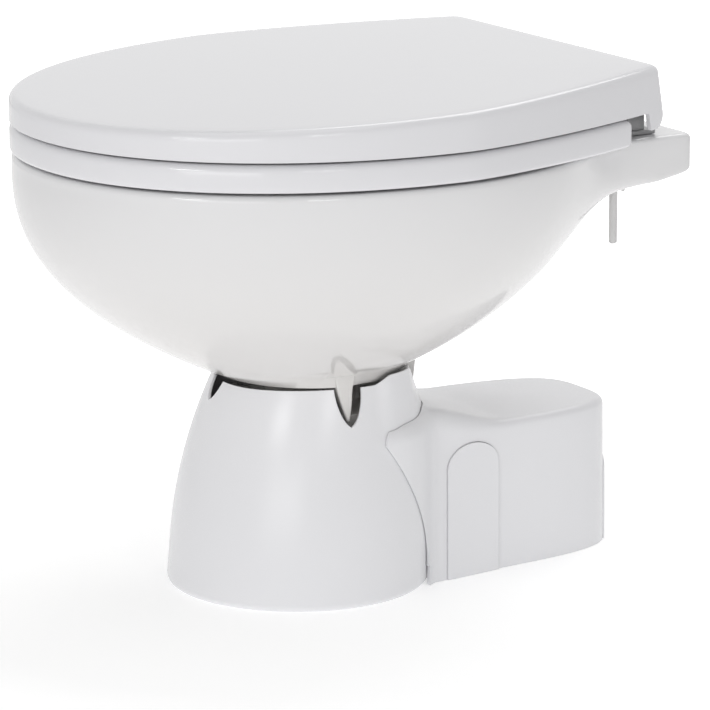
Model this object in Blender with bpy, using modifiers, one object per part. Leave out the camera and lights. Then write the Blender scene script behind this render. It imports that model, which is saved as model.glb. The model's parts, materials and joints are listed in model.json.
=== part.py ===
"""Electric marine toilet: ceramic bowl, seat and lid on a bell pedestal, with a
macerator pump and its motor lying under a low cover behind it.

Metres. +Z is up, the nose of the bowl points to -Y, the floor is z = 0 and the
middle of the bowl lies on x = 0. Left and right are those of a person seated.
"""
import math

import bmesh
import bpy
from mathutils import Matrix, Vector

# Height of the pedestal's neck, on which all that stands above it is built up
BELL_NECK_HEIGHT = 0.1500

# Plan shared by the seat and the lid
SEAT_HALF_WIDTH = 0.1850
SEAT_FRONT = 0.2232
SEAT_REAR_REACH = 0.3727
FRONT_POWER = 2.10
REAR_POWER = 1.364
CORNER_POWER = 80

# Angular steps of every egg-shaped ring, from the nose to the middle of the back
FRONT_STEPS = 8
SIDE_STEPS = 4
CORNER_STEPS = 4
BACK_STEPS = 2
CORNER_SPREAD = math.radians(4)

# Ceramic bowl
BOWL_HEIGHT = 0.1587
RIM_TOP = BELL_NECK_HEIGHT + BOWL_HEIGHT
RIM_SIDE_INSET = 0.0005
RIM_FRONT_INSET = 0.0014
BOWL_HALF_WIDTH = SEAT_HALF_WIDTH - RIM_SIDE_INSET
BOWL_FRONT = SEAT_FRONT - RIM_FRONT_INSET
BOWL_REAR = 0.2174
BOWL_FRONT_POWER = 2.10
BOWL_REAR_POWER = 1.75
BOWL_BAND = 0.0060
BOWL_FOOT_TOP = BELL_NECK_HEIGHT
FOOT_FRONT = 0.0769
FOOT_HALF_WIDTH = 0.0574
FOOT_REAR = 0.0391
FOOT_CENTRE_Y = -0.0103
FRONT_FALL = (2.134, 1.150)
REAR_FALL = (1.435, 1.502)
BODY_ROW_SHARES = (0.98, 0.92, 0.81, 0.67, 0.52, 0.36, 0.21, 0.08, 0.0)
FOOT_ROW_SHARES = ((0.62, 0.0), (0.86, 0.65))
BOWL_SEAT_RADIUS = 0.0700
BOWL_SEAT_RISE = 0.0020
BOWL_SEAT_TOP = BELL_NECK_HEIGHT + BOWL_SEAT_RISE
RIM_ROUND = 0.0035
BOWL_WALL = 0.0095
LIP_DEPTH = 0.0230
LIP_THICKNESS = 0.0070
RIM_WIDTH = 0.0665
RIM_FRONT_WIDTH = 0.0658
MOUTH_HALF_WIDTH = BOWL_HALF_WIDTH - RIM_WIDTH
MOUTH_FRONT = BOWL_FRONT - RIM_FRONT_WIDTH
MOUTH_REAR = 0.1250
MOUTH_POWER = 2.15
INNER_ROW_SHARES = (0.26, 0.50, 0.74, 0.92)
OUTLET_Y = -0.0120
OUTLET_BORE = 0.0250
SPIGOT_RADIUS = 0.0340
SPIGOT_DROP = 0.0320
SPIGOT_BOTTOM = BELL_NECK_HEIGHT - SPIGOT_DROP
SPIGOT_RISE = 0.0260
SPIGOT_TOP = SPIGOT_BOTTOM + SPIGOT_RISE

# Raised shelf behind the bowl, which carries the hinges
SHELF_SIDE_INSET = 0.0560
SHELF_HALF_WIDTH = BOWL_HALF_WIDTH - SHELF_SIDE_INSET
SHELF_BACK = 0.2190
SHELF_STEP = 0.0041
SHELF_TOP = RIM_TOP + SHELF_STEP
SHELF_STEP_Y = 0.1635
SHELF_FRONT_Y = 0.1400
SHELF_BACK_THICKNESS = 0.0262
SHELF_SLOPE = 0.182
SHELF_ROUND = 0.0042
SPOT_FACE_RADIUS = 0.0140

# Bowl flange, its bolts and the fins that stand in all slots but the nose's
FLANGE_STAND = 0.0020
FLANGE_BOTTOM = SPIGOT_BOTTOM + FLANGE_STAND
FLANGE_THICKNESS = 0.0100
FLANGE_RADIUS = 0.0660
BOLT_CIRCLE = 0.0575
BOWL_BOLT_ANGLES = (25, 155, 205, 335)
BOWL_BOLT_RADIUS = 0.0030
BOWL_BOLT_LENGTH = 0.0400
BOWL_BOLT_STAND = 0.0085
NUT_RADIUS = 0.0060
NUT_HEIGHT = 0.0050
NUT_CLEARANCE = 0.0010
PILLAR_RADIUS = 0.0070
FIN_ANGLES = (-12, 78, 168)
FIN_HEAD_WIDTH = 0.0146
FIN_NECK_WIDTH = 0.0112
FIN_TIP_WIDTH = 0.0024
FIN_RISE = 0.0140
FIN_TOP = BELL_NECK_HEIGHT + FIN_RISE
FIN_HEAD_HEIGHT = 0.0050
FIN_SHOULDER = FIN_TOP - FIN_HEAD_HEIGHT
FIN_LENGTH = 0.0370
FIN_TIP = FIN_TOP - FIN_LENGTH
FIN_LEAN = 0.0024
FIN_ROOT = 0.0300
FIN_REACH = 0.0726

# Bell-shaped pedestal shell
BELL_RADIUS = 0.0920
BELL_NECK_RADIUS = 0.0703
BELL_BASE_RADIUS = 0.0880
BELL_WAIST_HEIGHT = 0.0300
BELL_BASE_Y = -0.0242
BELL_NECK_Y = -0.0104
BELL_WALL = 0.0035
BELL_BASE_ROUND = 0.0050
BELL_ROW_SHARES = (0.0, 0.32, 0.57, 0.78, 0.92)
BELL_STEPS = 40
NOSE_DIP = 0.0015
HOOD_RISE = 0.0055
HOOD_SWELL = 0.0036
HOOD_CLIMB_POWER = 4
HOOD_FOLD = 0.0040
HOOD_LIP = 0.0010
HOOD_LENGTH = 0.0500
HOOD_LOW = BELL_NECK_HEIGHT - HOOD_LENGTH
FOOT_STEP_SHARES = (-0.25, 0.0)
HOOD_RISE_SHARES = (0.08, 0.26)
HOOD_FALL_SHARES = (0.50, 0.82)
HOOD_FOLD_SHARES = (0.45, 0.85)
SLOT_WIDTH = 0.0195
SLOT_LENGTH = 0.0255
NOSE_SLOT_LENGTH = 0.0165
SLOT_TIP = BELL_NECK_HEIGHT - SLOT_LENGTH
NOSE_SLOT_TIP = BELL_NECK_HEIGHT - NOSE_SLOT_LENGTH
SLOTS = ((-102, NOSE_SLOT_TIP), (-12, SLOT_TIP), (78, SLOT_TIP), (168, SLOT_TIP))
SLOT_SHARES = ((1.0, 1.0), (0.66, 0.92), (0.34, 0.68), (0.12, 0.36))
REAR_DOOR_HALF_WIDTH = 0.0500
REAR_DOOR_DROP = 0.0340
REAR_DOOR_HEIGHT = BELL_NECK_HEIGHT - REAR_DOOR_DROP
REAR_DOOR_ROUND = 0.0200
REAR_DOOR_START = 0.0100

# Motor cover
COVER_HALF_WIDTH = 0.0587
COVER_CENTRE_Y = 0.0497
COVER_HALF_LENGTH = 0.1696
COVER_POWER = 3.60
COVER_DROP = 0.0435
COVER_TOP = BELL_NECK_HEIGHT - COVER_DROP
COVER_WALL = 0.0030
COVER_EDGE = 0.0055
NECK_EDGE = 0.0125
NECK_EDGE_START = 0.0600
NECK_EDGE_END = 0.1300
COVER_DRAFT = 0.0010
COVER_START = -0.0038
COVER_STRAIGHT = 0.1250
COVER_NECK_STEPS = 8
COVER_SIDE_STEPS = 3
COVER_END_STEPS = 7
COVER_ROW_SHARES = (0.0, 0.5, 1.0)
COVER_TOP_SHARES = (0.60,)
COVER_CROWN = 0.0010
NECK_RISE = 0.0175
NECK_RISE_START = 0.0400
NECK_RISE_END = 0.1200
NECK_TAPER = 0.0065
NECK_TAPER_START = 0.0400
NECK_TAPER_END = 0.1300
NECK_FLARE = 0.0206
NECK_FLARE_END = 0.0515
NECK_FLARE_POWER = 3
COVER_TO_BELL = 0.0005
RELEASE_SLOT_WIDTH = 0.0020
RELEASE_SLOT_HEIGHT = 0.0145

# Seam between the cover and the pedestal, seen from the side
SEAM_FOOT_Y = 0.0397
SEAM_FRONT_Y = -0.0028
SEAM_LOW = 0.0150
SEAM_SHOULDER = 0.0025
SEAM_HIGH = COVER_TOP + SEAM_SHOULDER
SEAM_POWER = 1.6
SEAM_TOP_Y = 0.0142
SEAM_RISE = 0.0146
SEAM_TOP = SEAM_HIGH + SEAM_RISE
SEAM_STEPS = 8

# Hose panels that close the arches in the cover
PANEL_Y = 0.0822
PANEL_HALF_WIDTH = 0.0227
PANEL_DROP = 0.0107
PANEL_APEX = COVER_TOP - PANEL_DROP
PANEL_ARCH = 0.0168
PANEL_SHOULDER = PANEL_APEX - PANEL_ARCH
REAR_PANEL_HALF_WIDTH = 0.0330
REAR_PANEL_SHOULDER = 0.0500
REAR_PANEL_APEX = 0.0670
PANEL_PROUD = 0.0012
PANEL_ARCH_STEPS = 8
PANEL_REACH = 0.0250

# Base plate
PLATE_THICKNESS = 0.0055
TONGUE_HALF_WIDTH = 0.0490
DECK_HOLE_RADIUS = 0.0035
DECK_HOLE_X = 0.0430
DECK_HOLE_FRONT_Y = -0.0700
DECK_HOLE_REAR_Y = 0.1860

# Seat
SEAT_GAP = 0.0020
SEAT_BOTTOM = RIM_TOP + SEAT_GAP
SEAT_THICKNESS = 0.0189
SEAT_BACK = 0.1605
SEAT_ROUND = 0.0055
SEAT_FOOT_ROUND = 0.0030
SEAT_WIDTH = 0.0730
SEAT_FRONT_WIDTH = 0.0752
HOLE_HALF_WIDTH = SEAT_HALF_WIDTH - SEAT_WIDTH
HOLE_FRONT = SEAT_FRONT - SEAT_FRONT_WIDTH
HOLE_REAR = 0.1180
SEAT_BUMPER_RADIUS = 0.0090
SEAT_BUMPER_ANGLES = (-125, -55, 22, 158)
SEAT_BUMPER_INSET = 0.0260

# Lid
LID_GAP = 0.0016
LID_EDGE_Z = SEAT_BOTTOM + SEAT_THICKNESS + LID_GAP
LID_SKIRT_GAP = 0.0058
LID_SKIRT_Z = SHELF_TOP + LID_SKIRT_GAP
LID_BACK = 0.1985
LID_BACK_LEAN = 0.0070
LID_FRONT_HEIGHT = 0.0178
LID_REAR_HEIGHT = 0.0320
LID_FRONT_TOP = LID_EDGE_Z + LID_FRONT_HEIGHT
LID_REAR_TOP = LID_EDGE_Z + LID_REAR_HEIGHT
LID_CROWN = 0.0012
LID_WALL = 0.0034
LID_EDGE_ROUND = 0.0055
LID_SKIRT_ROUND = 0.0080
LID_TOP_SHARES = (0.66, 0.33)
SKIRT_GAP_FRONT = 0.0170
SKIRT_GAP_BACK = 0.0018
LID_BUMPER_RADIUS = 0.0070
LID_BUMPER_ANGLES = (-118, -62)
LID_BUMPER_INSET = 0.0300

# Hinges
HINGE_Y = 0.1795
HINGE_RISE = 0.0222
HINGE_Z = SHELF_TOP + HINGE_RISE
KNUCKLE_RADIUS = 0.0070
PIN_RADIUS = 0.0030
PIN_CAP_RADIUS = 0.0048
PIN_CAP_LENGTH = 0.0015
POST_INSET = 0.0730
KNUCKLE_PITCH = 0.0105
PIN_TAIL = 0.0055
POST_X = SEAT_HALF_WIDTH - POST_INSET
SEAT_KNUCKLE_X = POST_X - KNUCKLE_PITCH
LID_KNUCKLE_X = SEAT_KNUCKLE_X - KNUCKLE_PITCH
PIN_START = LID_KNUCKLE_X - PIN_TAIL
KNUCKLE_WIDTH = 0.0100
SEAT_ARM_THICKNESS = 0.0090
LID_ARM_THICKNESS = 0.0080
NOTCH_MARGIN = 0.0065
NOTCH_WIDTH = 0.0545
NOTCH_RISE = 0.0150
NOTCH_OUTER_X = POST_X + NOTCH_MARGIN
NOTCH_INNER_X = NOTCH_OUTER_X - NOTCH_WIDTH
NOTCH_TOP = HINGE_Z + NOTCH_RISE
FOOT_REACH = 0.0455
FOOT_INNER_X = POST_X - FOOT_REACH
FOOT_FRONT_Y = 0.1690
FOOT_BACK_Y = 0.1990
FOOT_THICKNESS = 0.0032
HINGE_BOLT_INSET = 0.0110
HINGE_BOLT_X = FOOT_INNER_X + HINGE_BOLT_INSET
HINGE_BOLT_Y = 0.1874
HINGE_BOLT_RADIUS = 0.0030
HINGE_BOLT_LENGTH = 0.0836
HINGE_BOLT_BOTTOM = SHELF_TOP - HINGE_BOLT_LENGTH
HINGE_BOLT_HEAD_RADIUS = 0.0062
HINGE_BOLT_HEAD = 0.0026
BOLT_CHAMFER = 0.0012
WASHER_RADIUS = 0.0110
WASHER_THICKNESS = 0.0022
WING_HUB_RADIUS = 0.0058
WING_HEIGHT = 0.0070
WING_SPAN = 0.0130
WING_THICKNESS = 0.0024

# Rinse-water inlet at the back of the bowl
INLET_DROP = 0.0637
INLET_Z = RIM_TOP - INLET_DROP
INLET_HOLE_RADIUS = 0.0110
INLET_BOSS_RADIUS = 0.0155
INLET_BOSS_DEPTH = 0.0350
GROMMET_LIP = 0.0030
GROMMET_LIP_THICKNESS = 0.0030
INLET_PIPE_RADIUS = 0.0085
INLET_PIPE_BORE = 0.0062
INLET_REACH = 0.0125
INLET_ARM = 0.0420
INLET_PLUNGE = 0.0200

# Macerator pump, which lies along Y under the outlet
PUMP_X = -0.0080
PUMP_Z = 0.0421
CHAMBER_RADIUS = 0.0360
CHAMBER_WALL = 0.0030
CHAMBER_FRONT = -0.0500
CHAMBER_LENGTH = 0.0700
NECK_PIPE_RADIUS = 0.0310
NECK_PIPE_BORE = 0.0265
NECK_PIPE_BOTTOM = 0.0450
SEAL_THICKNESS = 0.0026
CUTTER_PLATE = 0.0030
CUTTER_HOLE_RADIUS = 0.0044
CUTTER_HOLE_CIRCLE = 0.0200
CUTTER_HOLES = 8
VOLUTE_LENGTH = 0.0226
SEAL_PLATE = 0.0060
SEAL_PLATE_BOSS = 0.0140
SEAL_PLATE_BOSS_LENGTH = 0.0085
MOTOR_RADIUS = 0.0300
MOTOR_WALL = 0.0025
MOTOR_LENGTH = 0.1010
END_CAP_THICKNESS = 0.0100
SHAFT_RADIUS = 0.0040
SHAFT_FRONT = -0.0300
BEARING_RADIUS = 0.0110
BEARING_WIDTH = 0.0070
SHAFT_SEAL_RADIUS = 0.0090
SHAFT_SEAL_WIDTH = 0.0045
ROTOR_RADIUS = 0.0190
ROTOR_LENGTH = 0.0560
ROTOR_GAP = 0.0160
ROTOR_SLOTS = 8
ROTOR_SLOT_WIDTH = 0.0028
ROTOR_SLOT_DEPTH = 0.0050
COMMUTATOR_RADIUS = 0.0110
COMMUTATOR_LENGTH = 0.0120
COMMUTATOR_GAP = 0.0030
MAGNET_INNER_RADIUS = 0.0205
MAGNET_SPAN = math.radians(120)
MAGNET_STEPS = 10
BRUSH_WIDTH = 0.0060
BRUSH_LENGTH = 0.0150
BLADE_RADIUS = 0.0290
BLADE_WIDTH = 0.0110
BLADE_THICKNESS = 0.0025
BLADE_TIP_BEND = 0.0060
BLADE_HUB_RADIUS = 0.0080
BLADE_HUB_LENGTH = 0.0080
BLADE_Y = -0.0260
IMPELLER_RADIUS = 0.0290
IMPELLER_DISC = 0.0030
IMPELLER_VANE_HEIGHT = 0.0085
IMPELLER_VANES = 6
IMPELLER_VANE_THICKNESS = 0.0024
IMPELLER_HUB_RADIUS = 0.0085
IMPELLER_VANE_SWEEP = math.radians(62)
VANE_STEPS = 4
CRADLE_LENGTH = 0.0600
CRADLE_HALF_WIDTH = 0.0220
CRADLE_TOP = 0.0260

# Discharge: spigot on the volute, swivelling elbow and one-way valve
DISCHARGE_X = 0.0310
DISCHARGE_SPIGOT_RADIUS = 0.0110
DISCHARGE_SPIGOT_BORE = 0.0080
DISCHARGE_SPIGOT_TOP = 0.0800
DISCHARGE_ARM_RADIUS = 0.0095
DISCHARGE_ARM_Z = 0.0520
ELBOW_CUP_RADIUS = 0.0160
ELBOW_CUP_BOTTOM = 0.0720
ELBOW_PIPE_RADIUS = 0.0106
ELBOW_PIPE_BORE = 0.0084
ELBOW_Z = 0.0985
ELBOW_ARM = 0.0480
BARB_HEIGHT = 0.0012
BARB_PITCH = 0.0080
BARBS = 2
RING_WIDTH = 0.0018
SWIVEL_GAP = 0.0009
JOKER_LENGTH = 0.0200
JOKER_WALL = 0.0014
JOKER_LIP = 0.0022

# Clearances and the overrun of every cutter
CLEARANCE = 0.0003
RUNNING = 0.0004
OVERRUN = 0.0100
WELD = 0.00001

ROUND_STEPS = 20
SMALL_STEPS = 12
HOLE_STEPS = 8
ARC_STEPS = 3


# Scene, collections and finishes

for leftover in list(bpy.data.objects):
    bpy.data.objects.remove(leftover, do_unlink=True)

PARTS = bpy.data.collections.new("electric_marine_toilet")
CUTTERS = bpy.data.collections.new("cutters")
bpy.context.scene.collection.children.link(PARTS)
bpy.context.scene.collection.children.link(CUTTERS)


def finish(name, colour, roughness, metallic=0.0):
    material = bpy.data.materials.new(name)
    material.use_nodes = True
    shader = material.node_tree.nodes["Principled BSDF"]
    shader.inputs["Base Color"].default_value = (*colour, 1.0)
    shader.inputs["Roughness"].default_value = roughness
    shader.inputs["Metallic"].default_value = metallic
    material.diffuse_color = (*colour, 1.0)
    return material


GLAZE = ("glaze", (0.80, 0.79, 0.77), 0.12)
SEAT_GLOSS = ("seat_gloss", (0.82, 0.82, 0.83), 0.18)
SHELL_PLASTIC = ("shell_plastic", (0.80, 0.80, 0.82), 0.32)
HINGE_PLASTIC = ("hinge_plastic", (0.62, 0.62, 0.63), 0.40)
BOLT_NYLON = ("bolt_nylon", (0.72, 0.71, 0.71), 0.45)
DARK_PLASTIC = ("dark_plastic", (0.06, 0.06, 0.065), 0.50)
RUBBER = ("rubber", (0.05, 0.05, 0.05), 0.80)
PALE_RUBBER = ("pale_rubber", (0.70, 0.70, 0.68), 0.70)
STEEL = ("steel", (0.62, 0.62, 0.63), 0.30, 1.0)
MOTOR_PAINT = ("motor_paint", (0.09, 0.09, 0.10), 0.40)
MAGNET_GREY = ("magnet_grey", (0.14, 0.14, 0.15), 0.60)
COPPER = ("copper", (0.72, 0.40, 0.25), 0.35, 1.0)
CARBON = ("carbon", (0.03, 0.03, 0.03), 0.60)


# Mesh helpers

def smooth_step(low, high, value):
    share = min(1.0, max(0.0, (value - low) / (high - low)))
    return share * share * (3 - 2 * share)


def share_of(value, whole):
    """A value as a share of a whole, held between 0 and 1."""
    return max(0.0, min(1.0, value / whole))


def place(name, mesh, look=None):
    """Turn a mesh into an object: a part when it has a look, else a cutter."""
    item = bpy.data.objects.new(name, mesh)
    if look is None:
        CUTTERS.objects.link(item)
        item.hide_render = True
        item.display_type = "WIRE"
    else:
        PARTS.objects.link(item)
        material = bpy.data.materials.get(look[0]) or finish(*look)
        mesh.materials.clear()
        mesh.materials.append(material)
    return item


def from_bmesh(name, shape, look=None, outward=True):
    if outward:
        bmesh.ops.recalc_face_normals(shape, faces=shape.faces)
    mesh = bpy.data.meshes.new(name)
    shape.to_mesh(mesh)
    shape.free()
    mesh.shade_smooth()
    mesh.set_sharp_from_angle(angle=math.radians(32))
    return place(name, mesh, look)


def loft(name, rings, look=None, wrap=False, lids=(False, False), closed_ring=True):
    """Skin rings that hold the same number of points; wrap joins last to first."""
    shape = bmesh.new()
    rows = [[shape.verts.new(point) for point in ring] for ring in rings]
    count = len(rows[0])
    columns = range(count if closed_ring else count - 1)
    pairs = list(zip(rows, rows[1:]))
    if wrap:
        pairs.append((rows[-1], rows[0]))
    for below, above in pairs:
        for i in columns:
            j = (i + 1) % count
            shape.faces.new((below[i], below[j], above[j], above[i]))
    if lids[0]:
        shape.faces.new(list(reversed(rows[0])))
    if lids[1]:
        shape.faces.new(rows[-1])
    return from_bmesh(name, shape, look)


def turned(name, profile, look=None, steps=ROUND_STEPS, axis="Z", at=(0, 0, 0)):
    """Turn a profile of (radius, height) points about an axis it may end on."""
    shape = bmesh.new()
    loop = [shape.verts.new((radius, 0, height)) for radius, height in profile]
    pairs = list(zip(loop, loop[1:]))
    if profile[0][0] > 0:
        pairs.append((loop[-1], loop[0]))
    for pair in pairs:
        shape.edges.new(pair)
    item = from_bmesh(name, shape, look, outward=False)
    screw = item.modifiers.new("turn", "SCREW")
    screw.steps = steps
    screw.render_steps = steps
    screw.use_merge_vertices = True
    screw.merge_threshold = WELD
    screw.use_smooth_shade = False
    aim(item, axis)
    item.location = at
    return item


def aim(item, axis):
    """Turn an object whose length lies along its own Z onto another axis."""
    if axis == "Y":
        item.rotation_euler = (-math.pi / 2, 0, 0)
    if axis == "X":
        item.rotation_euler = (0, math.pi / 2, 0)


def ring(name, outer, inner, length, look=None, steps=ROUND_STEPS, axis="Z", at=(0, 0, 0)):
    """A plain ring whose near face lies at its place and which runs up its axis."""
    profile = ((outer, length), (outer, 0), (inner, 0), (inner, length))
    return turned(name, profile, look, steps, axis, at)


def rod(name, radius, length, look=None, steps=SMALL_STEPS, axis="Z", at=(0, 0, 0), tip=None):
    """A cylinder that starts at its place and runs up its axis."""
    shape = bmesh.new()
    bmesh.ops.create_cone(
        shape, cap_ends=True, segments=steps, radius1=radius,
        radius2=radius if tip is None else tip, depth=length)
    bmesh.ops.translate(shape, verts=shape.verts, vec=(0, 0, length / 2))
    item = from_bmesh(name, shape, look)
    aim(item, axis)
    item.location = at
    return item


def block(name, low, high, look=None):
    """A box between two corners."""
    low = Vector(low)
    high = Vector(high)
    shape = bmesh.new()
    bmesh.ops.create_cube(shape, size=1)
    bmesh.ops.scale(shape, verts=shape.verts, vec=high - low)
    bmesh.ops.translate(shape, verts=shape.verts, vec=(low + high) / 2)
    return from_bmesh(name, shape, look)


def prism(name, outline, start, depth, axis="Y", look=None):
    """Push a closed outline of (across, up) points along X or Y."""
    shape = bmesh.new()
    if axis == "Y":
        points = [Vector((across, start, up)) for across, up in outline]
        push = Vector((0, depth, 0))
    else:
        points = [Vector((start, across, up)) for across, up in outline]
        push = Vector((depth, 0, 0))
    face = shape.faces.new([shape.verts.new(point) for point in points])
    grown = bmesh.ops.extrude_face_region(shape, geom=[face])
    moved = [part for part in grown["geom"] if isinstance(part, bmesh.types.BMVert)]
    bmesh.ops.translate(shape, verts=moved, vec=push)
    return from_bmesh(name, shape, look)


def combine(item, tool, operation):
    change = item.modifiers.new(operation.lower(), "BOOLEAN")
    change.operation = operation
    change.object = tool
    change.solver = "EXACT"
    return item


def cut(item, *tools):
    for tool in tools:
        combine(item, tool, "DIFFERENCE")
    return item


def join(item, *tools):
    for tool in tools:
        combine(item, tool, "UNION")
    return item


def shell(item, thickness):
    """Give an open skin a wall on its inner side."""
    solid = item.modifiers.new("wall", "SOLIDIFY")
    solid.thickness = thickness
    solid.offset = -1
    solid.use_even_offset = True
    solid.use_quality_normals = True
    return item


# Plan curves: every egg outline is a distance from the middle for each angle

def ring_angles(*stops):
    """Angles round a ring from stops (angle, steps) that end at the middle of the back."""
    angles = [-math.pi / 2]
    for end, steps in stops:
        start = angles[-1]
        angles += [start + (end - start) * i / steps for i in range(1, steps + 1)]
    left = [math.pi - angle for angle in reversed(angles[1:-1])]
    return angles + left


def cornered_angles(corner):
    return ring_angles(
        (0, FRONT_STEPS), (corner - CORNER_SPREAD, SIDE_STEPS),
        (corner + CORNER_SPREAD, CORNER_STEPS), (math.pi / 2, BACK_STEPS))


def egg(angle, half_width, front, rear, front_power, rear_power):
    forward = math.sin(angle) < 0
    length = front if forward else rear
    power = front_power if forward else rear_power
    across = abs(math.cos(angle)) / half_width
    along = abs(math.sin(angle)) / length
    return (across ** power + along ** power) ** (-1 / power)


def squared(distance, angle, back):
    """Cut an outline off at the back with a softened corner."""
    if math.sin(angle) <= 0:
        return distance
    limit = back / math.sin(angle)
    return (distance ** -CORNER_POWER + limit ** -CORNER_POWER) ** (-1 / CORNER_POWER)


def seat_plan(angle, inset, back):
    half_width = SEAT_HALF_WIDTH - inset
    reach = SEAT_REAR_REACH * half_width / SEAT_HALF_WIDTH
    distance = egg(angle, half_width, SEAT_FRONT - inset, reach, FRONT_POWER, REAR_POWER)
    return squared(distance, angle, back - inset)


def hole_plan(angle, inset):
    return egg(
        angle, HOLE_HALF_WIDTH - inset, HOLE_FRONT - inset, HOLE_REAR - inset,
        MOUTH_POWER, MOUTH_POWER)


def seat_half_width_at(y):
    share = (y / SEAT_REAR_REACH) ** REAR_POWER
    return SEAT_HALF_WIDTH * (1 - share) ** (1 / REAR_POWER)


def side_angle(y):
    """The direction in which the seat's and lid's side lies at this depth."""
    return math.atan2(y, seat_half_width_at(y))


def polar(angle, distance, z, centre_y=0.0):
    return (distance * math.cos(angle), centre_y + distance * math.sin(angle), z)


# Ceramic bowl

def fall(share, powers):
    """How far a bowl section has kept its rim size, 1 at the rim and 0 at the foot."""
    return (1 - share ** powers[0]) ** (1 / powers[1])


def bowl_section(share):
    """Half width, front, rear and middle of the outer bowl, rim (0) to foot (1)."""
    front_keep = fall(share, FRONT_FALL)
    rear_keep = fall(share, REAR_FALL)
    side_keep = (front_keep + rear_keep) / 2
    half_width = FOOT_HALF_WIDTH + (BOWL_HALF_WIDTH - FOOT_HALF_WIDTH) * side_keep
    front = FOOT_FRONT + (BOWL_FRONT - FOOT_FRONT) * front_keep
    rear = FOOT_REAR + (BOWL_REAR - FOOT_REAR) * rear_keep
    return half_width, front, rear, FOOT_CENTRE_Y * share


def bowl_height(share):
    top = RIM_TOP - BOWL_BAND
    return top + (BOWL_FOOT_TOP - top) * share


def bowl_ring(angles, share, height, inset=0.0):
    half_width, front, rear, middle = bowl_section(share)
    front_power = BOWL_FRONT_POWER + (2 - BOWL_FRONT_POWER) * share
    rear_power = BOWL_REAR_POWER + (2 - BOWL_REAR_POWER) * share
    return [
        polar(angle, egg(
            angle, half_width - inset, front - inset, rear - inset,
            front_power, rear_power), height, middle)
        for angle in angles]


def mouth_ring(angles, out, height):
    return [
        polar(angle, egg(
            angle, MOUTH_HALF_WIDTH + out, MOUTH_FRONT + out, MOUTH_REAR + out,
            MOUTH_POWER, MOUTH_POWER), height)
        for angle in angles]


def foot_ring(angles, keep, height):
    """The round foot under the belly, drawn in where the hood rises and folds round it."""
    points = []
    for angle in angles:
        depth = math.sin(angle)
        reach = BOWL_SEAT_RADIUS
        reach -= (BELL_WALL + RUNNING) * smooth_step(*FOOT_STEP_SHARES, depth)
        reach -= (HOOD_FOLD + HOOD_LIP) * smooth_step(*HOOD_FOLD_SHARES, depth)
        points.append(polar(angle, keep * reach, height, OUTLET_Y))
    return points


def bowl_outside(angles):
    """Rows from the outlet spigot up over the belly to the rounded rim."""
    rows = []
    for height in (SPIGOT_BOTTOM, SPIGOT_TOP):
        rows.append([polar(angle, SPIGOT_RADIUS, height, OUTLET_Y) for angle in angles])
    for keep, climb in FOOT_ROW_SHARES:
        height = SPIGOT_TOP + (BOWL_SEAT_TOP - SPIGOT_TOP) * climb
        rows.append(foot_ring(angles, keep, height))
    rows.append(foot_ring(angles, 1.0, BOWL_SEAT_TOP))
    for share in BODY_ROW_SHARES:
        rows.append(bowl_ring(angles, share, bowl_height(share)))
    for i in range(ARC_STEPS):
        turn = math.pi / 2 * i / (ARC_STEPS - 1)
        rows.append(bowl_ring(
            angles, 0.0, RIM_TOP - RIM_ROUND * (1 - math.sin(turn)),
            RIM_ROUND * (1 - math.cos(turn))))
    return rows


def bowl_cavity(angles):
    """Rows from above the rim, round the open inner lip, down through the outlet."""
    lip_foot = RIM_TOP - LIP_DEPTH
    rows = [
        mouth_ring(angles, RIM_ROUND, RIM_TOP + OVERRUN),
        mouth_ring(angles, RIM_ROUND, RIM_TOP),
        mouth_ring(angles, 0.0, RIM_TOP - RIM_ROUND),
        mouth_ring(angles, 0.0, lip_foot),
        mouth_ring(angles, LIP_THICKNESS, lip_foot),
        mouth_ring(angles, LIP_THICKNESS, lip_foot + LIP_THICKNESS),
        bowl_ring(angles, 0.0, lip_foot + LIP_THICKNESS, BOWL_WALL + LIP_THICKNESS)]
    for share in INNER_ROW_SHARES:
        rows.append(bowl_ring(angles, share, bowl_height(share) + BOWL_WALL / 2, BOWL_WALL))
    for height in (BOWL_SEAT_TOP, SPIGOT_BOTTOM - OVERRUN):
        rows.append([polar(angle, OUTLET_BORE, height, OUTLET_Y) for angle in angles])
    return rows


def shelf_underside(y):
    """The shelf gets thinner towards its back edge."""
    return SHELF_TOP - SHELF_BACK_THICKNESS - SHELF_SLOPE * (SHELF_BACK - y)


def make_shelf_tool():
    """The raised shelf as a block with rounded edges that starts inside the belly."""
    outline = (
        (SHELF_FRONT_Y, RIM_TOP - SHELF_ROUND), (SHELF_STEP_Y, RIM_TOP - SHELF_ROUND),
        (SHELF_STEP_Y, SHELF_TOP), (SHELF_BACK, SHELF_TOP),
        (SHELF_BACK, shelf_underside(SHELF_BACK)),
        (SHELF_FRONT_Y, shelf_underside(SHELF_FRONT_Y)))
    shelf = prism("shelf_tool", outline, -SHELF_HALF_WIDTH, 2 * SHELF_HALF_WIDTH, axis="X")
    edges = shelf.modifiers.new("edges", "BEVEL")
    edges.width = SHELF_ROUND
    edges.segments = 2
    edges.limit_method = "ANGLE"
    edges.angle_limit = math.radians(40)
    return shelf


def on_bolt_circle(degrees, radius=BOLT_CIRCLE):
    angle = math.radians(degrees)
    return radius * math.cos(angle), OUTLET_Y + radius * math.sin(angle)


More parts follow.
